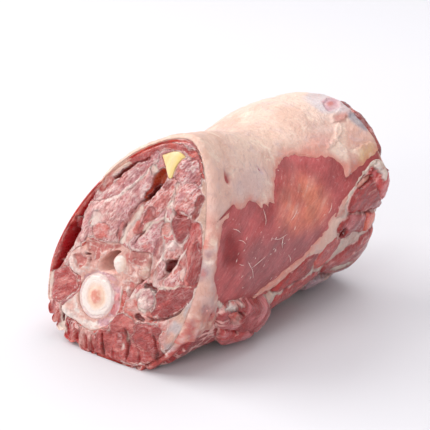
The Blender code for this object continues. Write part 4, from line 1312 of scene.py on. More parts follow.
def build_body():
    """The muscle body under the fat, from the front lip round the outside to the rear lip."""
    degrees = even_angles(451)[:-1]
    columns = len(degrees)
    rounded = np.linspace(0.0, 90.0, 6)
    lip = lip_width(degrees)
    radius = edge_radius(degrees) * 0.8

    def end_rows(start, way, step):
        made = []
        for inset, back in ((3.6, 20.0), (2.6, 3.0), (1.2, 1.2), (0.3, 0.35), (-0.2, 0.12)):
            made.append((start + way * back / step, -(lip + inset) + 0.5))
        for turn in rounded:
            back = radius * (1.0 - math.sin(math.radians(90.0 - turn)))
            inset = radius * (1.0 - math.sin(math.radians(turn)))
            made.append((start + way * (back + 0.02) / step, -inset))
        return made

    front_rows = end_rows(0.0, 1.0, front_step(degrees))
    rear_rows = end_rows(4.0, -1.0, np.full(columns, REAR_STEP))
    body_rows = []
    for index in range(1, BODY_ROWS):
        along = mix(front_rows[-1][0], rear_rows[-1][0], index / BODY_ROWS)
        body_rows.append((along, np.zeros(columns)))
    listed = front_rows + body_rows + rear_rows[::-1]
    along = np.array([row[0] for row in listed])
    growth = np.array([row[1] for row in listed])
    angle = np.tile(degrees, (len(listed), 1))
    base = surface(along, angle, growth).reshape(-1, 3)
    flat_angle = angle.ravel()
    flat_along = along.ravel()
    tones, grain, muscle, relief = flank_fields(base, flat_angle)
    outer = (growth.ravel() > -0.05).astype(float)
    lump = sizes().flank_lump / MM
    swell = lump * layered(base, 16.0, 41) + relief
    crease_at = (flat_angle + 12.0 * noise(base, (9.0, 22.0, 22.0), 46)) / 11.0
    notch = np.exp(-(((crease_at - np.round(crease_at)) * 11.0 / 1.7) ** 2))
    low_front = smooth(190.0, 210.0, flat_angle) + smooth(-62.0, -72.0, flat_angle)
    fade = smooth(0.0, 0.10, flat_along) * smooth(4.0, 3.9, flat_along)
    scallop = (0.8 - 2.6 * notch + 0.5 * layered(base, 4.0, 47)) * low_front * smooth(20.0, 5.0, base[:, 1])
    scallop = scallop * smooth(-3.4, -1.6, growth.ravel())
    shaped = surface(flat_along, flat_angle, growth.ravel() + swell * outer * (0.3 + 0.7 * fade) + scallop)
    # Gap red painted into the notches of the low front scallops is painted shade.
    tones = tint(tones, "gap", 0.6 * notch * low_front * smooth(14.0, 2.0, base[:, 1]))
    ring = oval(TUNNEL_MIDDLE, TUNNEL_LIP, TUNNEL_SLOPE, columns)
    ring_angle = np.degrees(np.arctan2(ring[:, 1] - TUNNEL_MIDDLE[1], ring[:, 0] - TUNNEL_MIDDLE[0]))
    ring = ring[np.argsort((ring_angle + 90.0) % 360.0)]
    tunnel_front = face_point(ring, np.full(columns, -20.0))
    tunnel_rear = face_point(ring, np.full(columns, -20.0), True)
    points = np.vstack((shaped, tunnel_rear, tunnel_front))
    total_rows = len(listed) + 2
    numbers = np.arange(total_rows * columns).reshape(total_rows, columns)
    after_row = np.roll(numbers, -1, axis=0)
    after_column = np.roll(numbers, -1, axis=1)
    after_both = np.roll(after_row, -1, axis=1)
    quads = np.stack((numbers, after_row, after_both, after_column), axis=-1).reshape(-1, 4)
    # The lips take the colours of the cut next to them.
    front_half = flat_along < 2.0
    from_front = base[:, 1] - FACE_Y - FACE_LEAN * base[:, 2]
    cut_share = 1.0 - smooth(0.5, 5.0, np.where(front_half, from_front, REAR_Y - base[:, 1]))
    cut_map = np.where(front_half[:, None], base[:, (0, 2)], front_of_rear(base[:, (0, 2)]))
    near = cut_share > 0.0
    centre = np.array((0.0, 46.0))
    inner = centre + (cut_map - centre) * 0.97
    cut_tones = tones.copy()
    cut_tones[near] = face_fields(inner[near], 3)[1]
    tones = mix(tones, cut_tones, cut_share[:, None])
    corner = smooth(-14.0, -24.0, flat_angle) * smooth(-86.0, -74.0, flat_angle) * (flat_along < 0.5)
    mottled = mottle("deep", "pink", smooth(-0.4, 0.6, layered(base, 4.0, 45)))
    tones = mix(tones, mottled, (0.9 * corner * smooth(0.0, 2.0, from_front))[:, None])
    finish = np.column_stack((muscle, np.ones(len(base)), muscle))
    extra = np.zeros((2 * columns, 3))
    fields = {
        "tone": np.vstack((tones, extra + 0.2)),
        "grain": np.vstack((grain, extra)),
        "finish": np.vstack((finish, extra)),
    }
    return make_piece("muscle_body", points, quads.tolist(), fields, "Flank_muscle", "muscle")


FAT_STAINS = (
    ("gold", 0.60, 3.0, (127, 20, 130, 25, 139, 25, 143, 19, 139, 14, 131, 14)),
    ("cream", 0.80, 2.0, (113, 33, 120, 36, 126, 41, 134, 42, 130, 36, 124, 30, 120, 24, 115, 26)),
    ("marrow", 0.65, 1.2, (130, 43, 132, 46.6, 141, 48, 144, 46, 137, 43)),
    ("blue", 0.85, 2.5, (129, 52, 131, 60, 136, 68, 149, 68, 150, 50, 144, 46, 138, 47)),
    ("lilac", 1.0, 1.4, (134, 51.6, 135.4, 57, 141.6, 58.4, 143.8, 55, 141.4, 51.4)),
    ("marrow", 0.85, 0.8, (137, 53.4, 138, 55.6, 140.6, 56, 141.4, 54.4, 140, 53)),
    ("cloud", 0.80, 1.2, (138.6, 39, 139, 43.4, 141, 45.6, 145, 44.4, 145, 38, 144, 33, 140.6, 34)),
    ("salmon", 0.30, 4.0, (98, 40, 108, 43, 118, 38, 112, 33, 101, 35)),
    ("salmon", 0.34, 3.0, (116, 22, 124, 22, 127, 17, 120, 15)),
    ("tan", 0.50, 6.0, (60, 50, 90, 52, 100, 60, 60, 64)),
)


# Raised ragged flaps of the fat: how far they stand up, and their outline as y and girth.
FAT_RAISED = (
    (1.0, (112, 33.6, 117, 36, 122, 37.6, 127, 42, 131, 42.6, 129, 39, 126, 36, 121, 34.6, 116, 32.6)),
    (0.9, (119.4, 34, 121, 34.6, 122, 28, 120.4, 20, 117, 15, 116, 16, 118, 22, 119, 28)),
    (0.8, (126, 26, 131, 27, 141, 26, 144, 20, 139, 15, 131, 14, 128, 19)),
    (0.9, (128, 44, 132, 48, 141, 49.6, 144, 46.4, 137, 43)),
    (-0.9, (134, 51.4, 135, 56.6, 141, 58.6, 143.6, 55, 141, 51.2)),
)


def fat_tones(points, degrees, thin):
    """Colours of the outer fat: creamy top, pinker flanks, grey films, a few stains, and painted shade in the
    wrinkle creases of the front strip.
    """
    tones = np.tile(tone("rim"), (len(points), 1))
    top = smooth(40.0, 78.0, degrees) * smooth(150.0, 110.0, degrees)
    tones = tint(tones, "tan", 0.65 * top, 0.97)
    back = smooth(60.0, 120.0, points[:, 1]) * top
    tones = tint(tones, "cream", 0.55 * back)
    lumps = smooth(-0.2, 0.6, layered(points, 21.0, 51))
    tones = tint(tones, "cream", 0.35 * lumps)
    grey = smooth(0.2, 0.8, layered(points, 15.0, 52))
    tones = tint(tones, "blue", 0.22 * grey, 0.95)
    side = points[:, (1, 2)]
    right = (degrees > -90.0) & (degrees < 80.0)

    def stain(middle, half, slope, name, strength, soft):
        share = smooth(-soft, soft, inside_distance(side, oval(middle, half, slope), 9.0)) * right * strength
        return mix(tones, tone(name), share[:, None])

    tones = stain((33.8, 86.2), (1.5, 2.6), 10.0, "marrow", 0.95, 0.9)
    tones = stain((60.4, 82.4), (1.0, 2.2), 20.0, "lilac", 0.8, 1.0)
    tones = stain((50.0, 80.0), (15.0, 6.0), 0.0, "blue", 0.30, 5.0)
    tones = stain((18.0, 33.0), (5.0, 6.0), 60.0, "blue", 0.55, 3.0)
    tones = stain((13.0, 52.0), (2.5, 6.0), 10.0, "blue", 0.55, 2.5)
    tones = stain((20.0, 66.0), (3.0, 8.0), 20.0, "salmon", 0.30, 4.0)
    girth = np.column_stack((points[:, 1], degrees * GIRTH))
    girth = girth + wander(points, 3.0, 57) * 0.8
    for name, strength, soft, outline in FAT_STAINS:
        share = smooth(-soft, soft, inside_distance(girth, closed_curve(outline), 9.0)) * strength
        tones = mix(tones, tone(name), share[:, None])
    hair = ridged(points, (9.0, 5.0, 7.0), 59)
    grey_place = smooth(-6.0, 6.0, inside_distance(side, oval((50.0, 84.0), (30.0, 12.0), 0.0), 9.0)) * right
    tones = tint(tones, "lilac", 0.35 * smooth(0.86, 0.95, hair) * grey_place, 0.6)
    rear_rim = smooth(144.0, 145.4, points[:, 1] + noise(points, 3.0, 60)) * right
    tones = tint(tones, "deep", 0.75 * rear_rim)
    strip = smooth(30.0, 16.0, points[:, 1]) * smooth(76.0, 60.0, points[:, 2]) * right
    # On the front strip the wrinkle crests are pale, and a darker lilac in the wrinkle creases is painted
    # shade.
    wrinkle = ridged(points, (4.4, 5.0, 8.0), 67)
    tones = tint(tones, "fascia", 0.50 * strip * smooth(0.84, 0.95, wrinkle), 0.9)
    tones = tint(tones, "lilac", 0.65 * strip * smooth(0.60, 0.36, wrinkle), 0.72)
    spots = smooth(0.20, 0.6, layered(points, (4.0, 3.0, 6.0), 68)) * strip
    tones = tones * (1.0 - (strip * smooth(72.0, 34.0, points[:, 2]))[:, None] * np.array((0.16, 0.28, 0.30)))
    tones = tint(tones, "salmon", 0.55 * spots)
    marks = smooth(0.30, 0.6, layered(points, (3.4, 3.0, 6.0), 73)) * strip
    tones = tint(tones, "fascia", 0.60 * marks)
    low_tip = smooth(40.0, 24.0, points[:, 2]) * strip
    tones = tint(tones, "red", 0.65 * low_tip * smooth(-0.2, 0.4, layered(points, 4.0, 70)))
    red_edge = smooth(4.0, 0.5, thin) * 0.42
    tones = tint(tones, "salmon", red_edge)
    return tones


# How far in from the lip, and how far back, each row of the fat's tucked edge lies at a cut.
FAT_LIP = ((1.4, 2.6), (0.7, 1.3), (0.15, 0.45), (-0.35, 0.05), (-0.9, -0.30), (-1.5, -0.42))


def build_fat():
    """The sheet of fat over the top and flanks, diving under the muscle at every bare place."""
    columns = 352
    share = np.linspace(0.0, 1.0, columns)
    base_angles = even_angles(4001)
    steps = np.linspace(0.0, 1.0, len(base_angles))

    def angle_row(along):
        right_edge = np.interp(along, range(5), FAT_RIGHT_EDGE)
        left_edge = np.interp(along, range(5), FAT_LEFT_EDGE)
        low = np.interp(right_edge - 9.0, base_angles, steps)
        high = np.interp(left_edge + 4.0, base_angles, steps)
        return np.interp(mix(low, high, share), steps, base_angles)

    first = angle_row(0.0)
    last = angle_row(4.0)

    def end_rows(degrees, start, way, step):
        lip = lip_width(degrees)
        radius = edge_radius(degrees)
        made = []
        for inset, back in FAT_LIP:
            made.append((start + way * back / step, -np.maximum(lip + inset, radius * 0.9 + 0.05)))
        for turn in np.linspace(0.0, 90.0, 8):
            back = radius * (1.0 - math.sin(math.radians(90.0 - turn)))
            inset = radius * (1.0 - math.sin(math.radians(turn)))
            made.append((start + way * (back - 0.45 * math.cos(math.radians(turn))) / step, -inset))
        return made

    front_rows = end_rows(first, 0.0, 1.0, front_step(first))
    rear_rows = end_rows(last, 4.0, -1.0, np.full(columns, REAR_STEP))
    listed = [(*row, first) for row in front_rows]
    for index in range(1, FAT_ROWS):
        part = index / FAT_ROWS
        row_along = mix(front_rows[-1][0], rear_rows[-1][0], part)
        listed.append((row_along, np.zeros(columns), angle_row(4.0 * part)))
    listed += [(*row, last) for row in rear_rows[::-1]]
    rows = len(listed)
    flat_along, flat_growth, flat_angle = (np.array(part).ravel() for part in zip(*listed))
    base = surface(flat_along, flat_angle, flat_growth)
    gap = fat_gap(base, flat_angle)
    column = np.tile(np.arange(columns), rows).astype(float)
    spacing = 0.54
    right_depth = column * spacing
    left_depth = (columns - 1 - column) * spacing
    wave = 2.0 * layered(base, 9.0, 61) + 1.2 * noise(base, 3.0, 62)
    edge_depth = np.minimum(right_depth, left_depth) - 5.0 + wave
    inside = np.minimum(-gap, edge_depth)
    rise = sizes().fat_rise / MM
    lump = sizes().fat_lump / MM
    thickness = rise * (0.35 + 0.65 * smooth(0.0, 7.0, inside)) + 0.35 * smooth(0.5, 4.0, inside)
    folds = lump * layered(base, (15.0, 19.0, 15.0), 63)
    creases = 0.30 * layered(base, (3.4, 8.0, 3.4), 64, 2) + 0.16 * layered(base, 1.9, 69, 2)
    strip = smooth(30.0, 16.0, base[:, 1]) * smooth(76.0, 60.0, base[:, 2]) * (flat_angle < 80.0)
    creases = creases + strip * 2.0 * (ridged(base, (4.4, 5.0, 8.0), 67) - 0.5)
    cover = smooth(-0.9, 0.7, inside)
    outer = np.clip(1.0 + flat_growth / 4.0, 0.2, 1.0)
    lift = mix(-2.2, thickness + (folds + creases) * smooth(0.0, 5.0, inside), cover)
    dented = 1.6 * np.exp(-(((base[:, 1] - 33.8) / 1.8) ** 2) - ((base[:, 2] - 86.2) / 3.0) ** 2)
    dented += 0.9 * np.exp(-(((base[:, 1] - 60.4) / 1.6) ** 2) - ((base[:, 2] - 82.4) / 2.6) ** 2)
    lift = lift - np.where(flat_angle < 80.0, dented, 0.0)
    girth = np.column_stack((base[:, 1], flat_angle * GIRTH))
    girth = girth + wander(base, 2.2, 65) * 0.9
    for rise, outline in FAT_RAISED:
        depth = inside_distance(girth, closed_curve(outline), 6.0)
        lift = lift + rise * smooth(-0.25, 0.45, depth) * np.exp(-np.maximum(depth, 0.0) / 5.0)
    knob = ((base[:, 1] - 143.0) / 9.0) ** 2 + ((flat_angle - 72.0) / 17.0) ** 2
    lift = lift + 2.4 * np.exp(-knob)
    crease = np.exp(-(((base[:, 2] - 71.0 - 0.28 * (base[:, 1] - 22.0)) / 0.7) ** 2))
    crease = crease * smooth(12.0, 16.0, base[:, 1])
    lift = lift - 0.9 * crease * smooth(36.0, 31.0, base[:, 1]) * (flat_angle < 60.0)
    points = surface(flat_along, flat_angle, flat_growth + lift * outer)
    numbers = np.arange(rows * columns).reshape(rows, columns)
    quads = np.stack(
        (numbers[:-1, :-1], numbers[1:, :-1], numbers[1:, 1:], numbers[:-1, 1:]), axis=-1
    ).reshape(-1, 4)
    edges = edge_loops(quads)
    # The hidden inside is a coarse sheet 3 mm below, sharing the outer sheet's edge.
    grid_places = np.column_stack((np.repeat(np.arange(rows), columns), np.tile(np.arange(columns), rows)))
    rim_numbers = np.unique(edges)
    row_step = np.arange(22, rows - 20, 10)
    column_step = np.arange(8, columns - 8, 10)
    inner_row, inner_column = np.meshgrid(row_step, column_step, indexing="ij")
    inner_ids = numbers[inner_row.ravel(), inner_column.ravel()]
    inner_points = surface(flat_along[inner_ids], flat_angle[inner_ids], np.full(len(inner_ids), -3.4))
    order = {int(number): index for index, number in enumerate(rim_numbers)}
    coords = [Vector(grid_places[number].astype(float)) for number in rim_numbers]
    coords += [Vector(grid_places[number].astype(float)) for number in inner_ids]
    lines = [(order[int(a)], order[int(b)]) for a, b in edges]
    found = delaunay_2d_cdt(coords, lines, [], 1, 1e-6)
    faces = quads.tolist()
    offset = len(points)
    for triangle in found[2]:
        corners = [found[0][index] for index in triangle]
        turn = (corners[1] - corners[0]).cross(corners[2] - corners[0])
        ids = []
        for index in triangle:
            source = found[3][index][0]
            inner = source >= len(rim_numbers)
            ids.append(offset + source - len(rim_numbers) if inner else int(rim_numbers[source]))
        faces.append(ids[::-1] if turn > 0 else ids)
    points = np.vstack((points, inner_points))
    tones = fat_tones(base, flat_angle, inside)
    tones = np.vstack((tones, np.tile(tone("tan"), (len(inner_points), 1))))
    return make_piece("fat_cap_visual", points, faces, {"tone": tones}, "Outer_fat", "fat_cap")


def through_solid(name, outline, hole, box, pitch, height_at, wall_tone, node, finish, shift):
    """A solid that runs the whole length of the neck, with a shaped face at both ends."""
    smooth_outline = closed_curve(outline)
    smooth_hole = None if hole is None else closed_curve(hole)

    def distance_at(places):
        distance = inside_distance(places, smooth_outline)
        if smooth_hole is None:
            return distance
        return np.minimum(distance, -inside_distance(places, smooth_hole))

    places, quads = cut_grid(box, pitch, distance_at)
    edge = inside_distance(places, smooth_outline)
    front_height, front_tones = height_at(places, edge, 5)
    rear_height, rear_tones = height_at(places, edge, 6)
    moved = places + np.array(shift)
    if shift != (0.0, 0.0):
        share = (places[:, 1] - 50.0) / 54.0
        moved = np.column_stack((places[:, 0] - 20.0 * share, places[:, 1] - 13.3 * share))
    front = face_point(places, front_height)
    rear = face_point(moved, rear_height, True)
    edges = edge_loops(quads)
    rim = np.unique(edges)
    rows = []
    for part in (0.02, 0.06, 0.14, 0.22, 0.3, 0.38, 0.46, 0.54, 0.62, 0.7, 0.78, 0.86, 0.94, 0.98):
        row = mix(front[rim], rear[rim], part)
        crest = station_at(np.array([4.0 * part]))[0]
        if shift != (0.0, 0.0):
            row[:, 0] += crest[2] - mix(STATIONS[0, 2], STATIONS[-1, 2], part)
            row[:, 2] += crest[3] - mix(STATIONS[0, 3], STATIONS[-1, 3], part)
        rows.append(row)
    points, faces = solid_from_sheet(front, quads.tolist(), edges, rows, quads.tolist(), rear)
    wall = np.tile(tone(wall_tone), (len(rim) * len(rows), 1))
    tones = np.vstack((front_tones, wall, rear_tones))
    return make_piece(name, points, faces, {"tone": tones}, finish, node)


def bone_height(places, edge, seed):
    height, tones = region_fields(places, BONE_REGIONS, tone("bone"), 0.25, seed, 0.8, 3.2)[:2]
    flat = upright(places, 9.0 * seed)
    pores = ridged(flat, 1.3, seed + 60)
    height = height + 1.25 * layered(flat, 4.2, seed + 61) + 0.7 * (pores - 0.5)
    upper = smooth(30.0, 38.0, places[:, 1])
    right_side = smooth(-4.0, 2.0, places[:, 0])
    pinker = np.clip(0.15 + 0.5 * upper + 0.7 * right_side, 0.0, 1.0)
    blush = smooth(-0.5, 0.4, layered(flat, 4.0, seed + 62)) * pinker
    tones = tint(tones, "arch", 0.85 * blush)
    redder = 0.1 + 0.9 * np.maximum(upper, right_side)
    tones = tint(tones, "marrow", 0.60 * smooth(0.44, 0.18, pores) * redder)
    tones = tones * (1.0 - 0.24 * right_side[:, None] * np.array((0.8, 1.0, 1.0)))
    pale = smooth(0.74, 0.9, ridged(flat, (2.6, 9.0, 2.0), seed + 63)) * upper
    tones = tint(tones, "cartilage", 0.5 * pale)
    knob = inside_distance(places, oval(KNOB_MIDDLE, KNOB_HALF), 6.0)
    dome = KNOB_RISE * np.sqrt(np.clip(1.0 - (1.0 - np.clip(knob / 4.3, 0.0, 1.0)) ** 2, 0.0, 1.0))
    share = smooth(-0.1, 0.25, knob)
    height = mix(height, dome - 0.2 + 0.35 * layered(flat, 2.6, seed + 64), share)
    pinkish = smooth(-7.0, -3.0, places[:, 0])
    tones = mix(tones, mottle("cartilage", "halo", 0.7 * pinkish), share[:, None])
    disc = inside_distance(places, oval(DISC_MIDDLE, DISC_HALF), 6.0)
    height = mix(height, -1.6, smooth(0.2, 1.2, disc))
    height = height - 2.2 * (1.0 - smooth(0.0, 0.9, edge))
    hole = -inside_distance(places, closed_curve(CANAL_OUTLINE), 6.0)
    inner = 1.0 - smooth(0.0, 0.5, hole)
    tones = tint(tones, "canal", 0.7 * inner)
    height = height - 0.5 * inner
    return height, tones


def disc_height(places, edge, seed):
    middle = np.array(DISC_MIDDLE)
    spread = (places - middle) / np.array(DISC_HALF)
    flat = upright(places, 7.0 * seed)
    round_off = np.linalg.norm(spread - np.array((0.06, 0.03)), axis=1) * 11.0
    round_off = round_off + 0.5 * noise(flat, 4.0, seed + 80)
    dip = 0.35 * np.exp(-((round_off - 4.6) / 1.2) ** 2)
    height = 0.95 * (1.0 - (np.linalg.norm(spread, axis=1)) ** 4) - dip
    height = height + 0.25 * np.exp(-((round_off / 2.6) ** 2)) + 0.06 * layered(flat, 2.0, seed + 81)
    height = height - 0.9 * (1.0 - smooth(0.0, 1.3, edge))
    tones = np.tile(tone("cartilage"), (len(places), 1))
    tones = tint(tones, "halo", 1.0 - smooth(4.2, 7.0, round_off))
    swirl = layered(flat, 2.2, seed + 82)
    core = 1.0 - smooth(2.0, 4.0, round_off + 0.8 * swirl)
    tones = tint(tones, "core", core)
    tones = tint(tones, "halo", smooth(0.2, 0.8, swirl) * core * 0.6)
    rings = smooth(0.2, 0.8, np.sin(round_off * 2.2 + 2.0 * swirl)) * smooth(6.2, 8.0, round_off)
    tones = tint(tones, "lilac", 0.30 * rings)
    rim = smooth(8.4, 10.6, round_off + 0.9 * swirl)
    skin = mottle("bone", "lilac", smooth(-0.3, 0.5, layered(flat, 3.0, seed + 83)))
    tones = mix(tones, skin, (0.50 * rim)[:, None])
    return height - 0.35 * rings, tones


def ligament_height(places, edge, seed):
    flat = upright(places, 4.0 * seed)
    slant = places[:, 0] - 0.36 * (places[:, 1] - 90.0)
    streak = np.column_stack((slant, flat[:, 1], places[:, 1] * 0.25))
    height = 0.9 * (1.0 - np.exp(-np.maximum(edge, 0.0) / 1.3))
    height = height + 0.22 * layered(streak, (1.7, 5.0, 2.4), seed + 85)
    height = height - 2.2 * (1.0 - smooth(0.0, 0.7, edge))
    tones = mottle("gold", "yellow", smooth(8.2, 10.6, slant))
    tones = tint(tones, "olive", smooth(12.4, 15.2, slant) * 0.9)
    tones = tint(tones, "cream", 0.6 * smooth(0.1, 0.7, layered(streak, (1.5, 5.0, 2.6), seed + 86)))
    tones = tint(tones, "gold", 0.7 * (1.0 - smooth(0.2, 1.1, edge)), 0.7)
    return height, tones


def build_bone():
    box = (-38.0, 12.5, 8.5, 52.5)
    look = (bone_height, "canal", "neck_bone", "Bone")
    through_solid("neck_bone_visual", BONE_OUTLINE, CANAL_OUTLINE, box, 0.26, *look, (0.0, 0.0))


def build_disc(name, rear, seed, node):
    """One end disc of the spine: a thick button of cartilage set into the bone."""
    outline = oval(DISC_MIDDLE, DISC_HALF, 0.0, 48)

    def distance_at(places):
        return inside_distance(places, outline)

    places, quads = cut_grid((-29.0, -6.0, 14.0, 37.0), 0.22, distance_at)
    edge = distance_at(places)
    height, tones = disc_height(places, edge, seed)
    front = face_point(places, height, rear)
    edges = edge_loops(quads)
    rim = np.unique(edges)
    deep = face_point(places[rim], np.full(len(rim), -3.0), rear)
    points, faces = backed_sheet(front, places, quads, edges, (deep,), rear)
    tones = np.vstack((tones, tones[rim]))
    return make_piece(name, points, faces, {"tone": tones}, "Cartilage", node)


def build_ligament():
    box = (4.0, 22.0, 82.0, 99.0)
    look = (ligament_height, "gold", "nuchal_ligament", "Ligament")
    through_solid("nuchal_ligament_visual", LIGAMENT_OUTLINE, None, box, 0.2, *look, (20.0, 13.3))


# The lower right side as y and girth in millimetres, where the girth is 0.78 mm for each degree.
GIRTH = 0.78
LOW_SIDE = (
    10.4, -12.5, 12.4, -10, 16, -11, 20, -11, 24, -13.5, 30, -14.6, 38, -16.6, 46, -19.5, 56, -22.5,
    63, -21.5, 70, -16.5, 78, -13.6, 86, -10.5, 93, -8, 99, -3.5, 104, -0.4, 110, 3.5, 117, 8.5, 125, 13,
    131, 16, 137, 17.5, 142, 15.5, 146, 10, 148.6, 2, 147, -9, 143, -14, 145, -24, 146, -34, 144, -48,
    136, -62, 100, -62, 60, -60, 30, -58, 4, -58, 3.4, -48, 5.6, -34, 8.2, -22)
LOW_REGIONS = (
    Region("red", "deep", 8, 1.3, 0.2, (
        60, -31, 66, -26.6, 76, -25.6, 88, -25.6, 100, -27, 101, -31, 90, -34, 80, -36, 68, -38)),
    Region("red", "deep", 8, 1.1, 0.0, (48, -48, 60, -43, 80, -41, 98, -40, 100, -47, 82, -52, 60, -55)),
    Region("deep", "red", 12, 1.4, 0.2, (
        63, -20.6, 71, -17.6, 80, -14.8, 88, -13.2, 94, -14.6, 92, -18.6, 91, -22.6, 86, -23.4,
        77, -23.4, 69, -23)),
    Region("red", "salmon", 14, 1.3, 0.2, (
        94, -16.4, 98, -12.8, 104, -11.6, 111, -15.6, 107, -21.6, 100, -23.6, 94.6, -21.6)),
    Region("deep", "red", 4, 1.8, 0.4, (
        104, -25.6, 112, -23.6, 120, -23, 130, -22.6, 141, -23, 150, -27, 150, -35, 140, -38.6,
        126, -36.6, 113, -32.6, 106, -29)),
    Region("salmon", "red", 60, 0.6, 1.2, (140, -24, 147, -25.6, 151, -30, 149, -35.6, 143, -34, 141, -29)),
    Region("cream", "tan", 10, 0.6, 0.9, (
        110, -28.6, 118, -29.4, 128, -31, 136, -31.6, 136, -33, 126, -33, 116, -31.2)),
    Region("lilac", "rim", 6, 2.2, 0.2, (
        101, -32.6, 106, -31, 114, -35.6, 126, -40, 138, -42, 151, -40, 152, -52, 132, -56, 112, -50,
        102, -40)),
    Region("gap", "deep", 0, 0.0, -1.2, (
        100, -31.4, 106, -30, 114, -34, 122, -38, 120, -39.4, 110, -35.6, 103, -33.2)),
    Region("deep", "mauve", 6, 2.4, 0.6, (
        107, -10.8, 106.4, -7.2, 111, -5.8, 121, -6.8, 130, -8, 135, -11.6, 136, -17, 130, -18.4,
        123, -15.8, 113, -14.6)),
    Region("salmon", "orange", 30, 0.9, 2.4, (129, -9, 134, -11.4, 137.4, -15.6, 134, -18.6, 129, -17)),
    Region("gap", "deep", 0, 0.0, -1.4, (106.8, -10, 109, -8.4, 111.6, -9.6, 111, -12.6, 108, -13)),
    Region("deep", "red", 40, 1.6, 0.8, (
        112.6, 0, 117, 4.5, 124, 8.8, 131, 12, 136, 13.4, 142, 9.6, 148, 3, 151.4, -4, 150, -11,
        144, -13.8, 135, -11.4, 122, -6.8, 114, -3)),
    Region("mauve", "red", 70, 0.9, 1.2, (
        134, 11, 141, 8, 147, 1.6, 150.4, -5, 147.6, -11.4, 141, -10, 136.6, -3, 133.6, 4)),
    Region("gap", "red", 40, 0.0, -1.6, (120.6, 7.4, 124, 9.6, 131, 10.6, 131.6, 8.2, 127, 6.6, 122, 5.4)),
    Region("fascia", "cream", 80, 0.5, 3.2, (
        134, 14.4, 139.6, 14.4, 141.4, 9, 140, 3, 137.4, 4.6, 136, 9.6)),
    Region("deep", "red", 20, 1.2, 0.1, (
        3.6, -21, 7, -13.6, 14, -13.6, 22, -16.6, 24, -20, 29, -27, 34, -36, 30, -44, 18, -50, 4, -50,
        0.4, -42, 1.4, -31)),
    Region("pink", "fascia", 10, 0.5, 0.9, (6, -15, 11, -13.6, 12, -15.6, 7, -17.4)),
    Region("deep", "mauve", 24, 3.4, 0.8, (
        23.6, -17, 30, -15.6, 38, -17.6, 46, -20.2, 55, -22.4, 60.6, -27, 62, -33, 58, -40, 52, -43,
        44, -41, 36, -37, 27, -28, 22, -21)),
    Region("red", "mauve", 14, 1.7, 2.6, (
        27, -27.6, 36, -30.6, 47, -32.4, 53, -37, 49, -43.6, 38, -43, 30, -36)),
    Region("gap", "maroon", 12, 0.0, -1.1, (26, -18.8, 32, -19, 38, -21.6, 35, -22.8, 29, -21.6)),
    Region("fascia", "pink", 12, 0.4, 1.7, (25, -16.2, 32, -16.2, 39, -18.6, 33, -18.2, 26, -17.4)),
    Region("pink", "fascia", 12, 0.4, 0.4, (30, -21, 35, -22.4, 34, -24, 30, -23)),
)
# Swollen places of the low side: how far they rise, their y and girth, and their reach along both.
SWELLS = (
    (5.6, 134.0, -33.0, 20.0, 12.0),
    (5.4, 47.0, -33.0, 15.0, 10.0),
    (1.6, 75.0, -30.0, 24.0, 9.0),
    (1.2, 140.0, 0.0, 9.0, 9.0),
)

# The soft roll of muscle round the rear cut: its middle line, and its half width and half height there.
RIM_PATH = (
    (-14, 143, 84), (-4, 145, 86.4), (6, 146.4, 87.2), (16, 147, 86.2), (25, 147, 83.4), (33, 146.4, 78.6),
    (39, 145.6, 72.4), (42, 145, 67),
)
RIM_WIDTHS = (3, 4.4, 5.2, 5.2, 4.6, 4, 3.4, 2)
RIM_HEIGHTS = (1.8, 3.4, 4.4, 4.6, 4.2, 3.6, 3.0, 1.6)
STRANDS = (
    (40, 47, 42, 44, 44, 41, 45, 37),
    (43, 42.6, 48, 44, 53, 45.4),
    (61, 66, 61.6, 62, 63, 58.6),
    (54, 67.6, 54.6, 63, 53.6, 60),
    (66, 51.4, 64.8, 48, 65.4, 45.6),
    (58, 52.6, 62, 51, 66, 51.2, 69, 51.6),
    (72, 57, 75, 58.4, 78, 60.6),
    (34, 59, 37, 57.6, 39, 55.6),
    (31, 65, 34, 63.6, 36, 61.8),
    (99, 53, 101, 55, 102, 57.6),
    (34, 47.6, 36, 46.4, 37.6, 46),
    (70, 41, 72, 38.6, 73, 36),
    (25, 31, 29, 28, 35, 27.6, 41, 29),
    (26, 29, 31, 30.4, 38, 27, 43, 25),
    (25, 26, 27, 23, 32, 21.6),
    (48, 27, 54, 26, 60, 27.6),
)


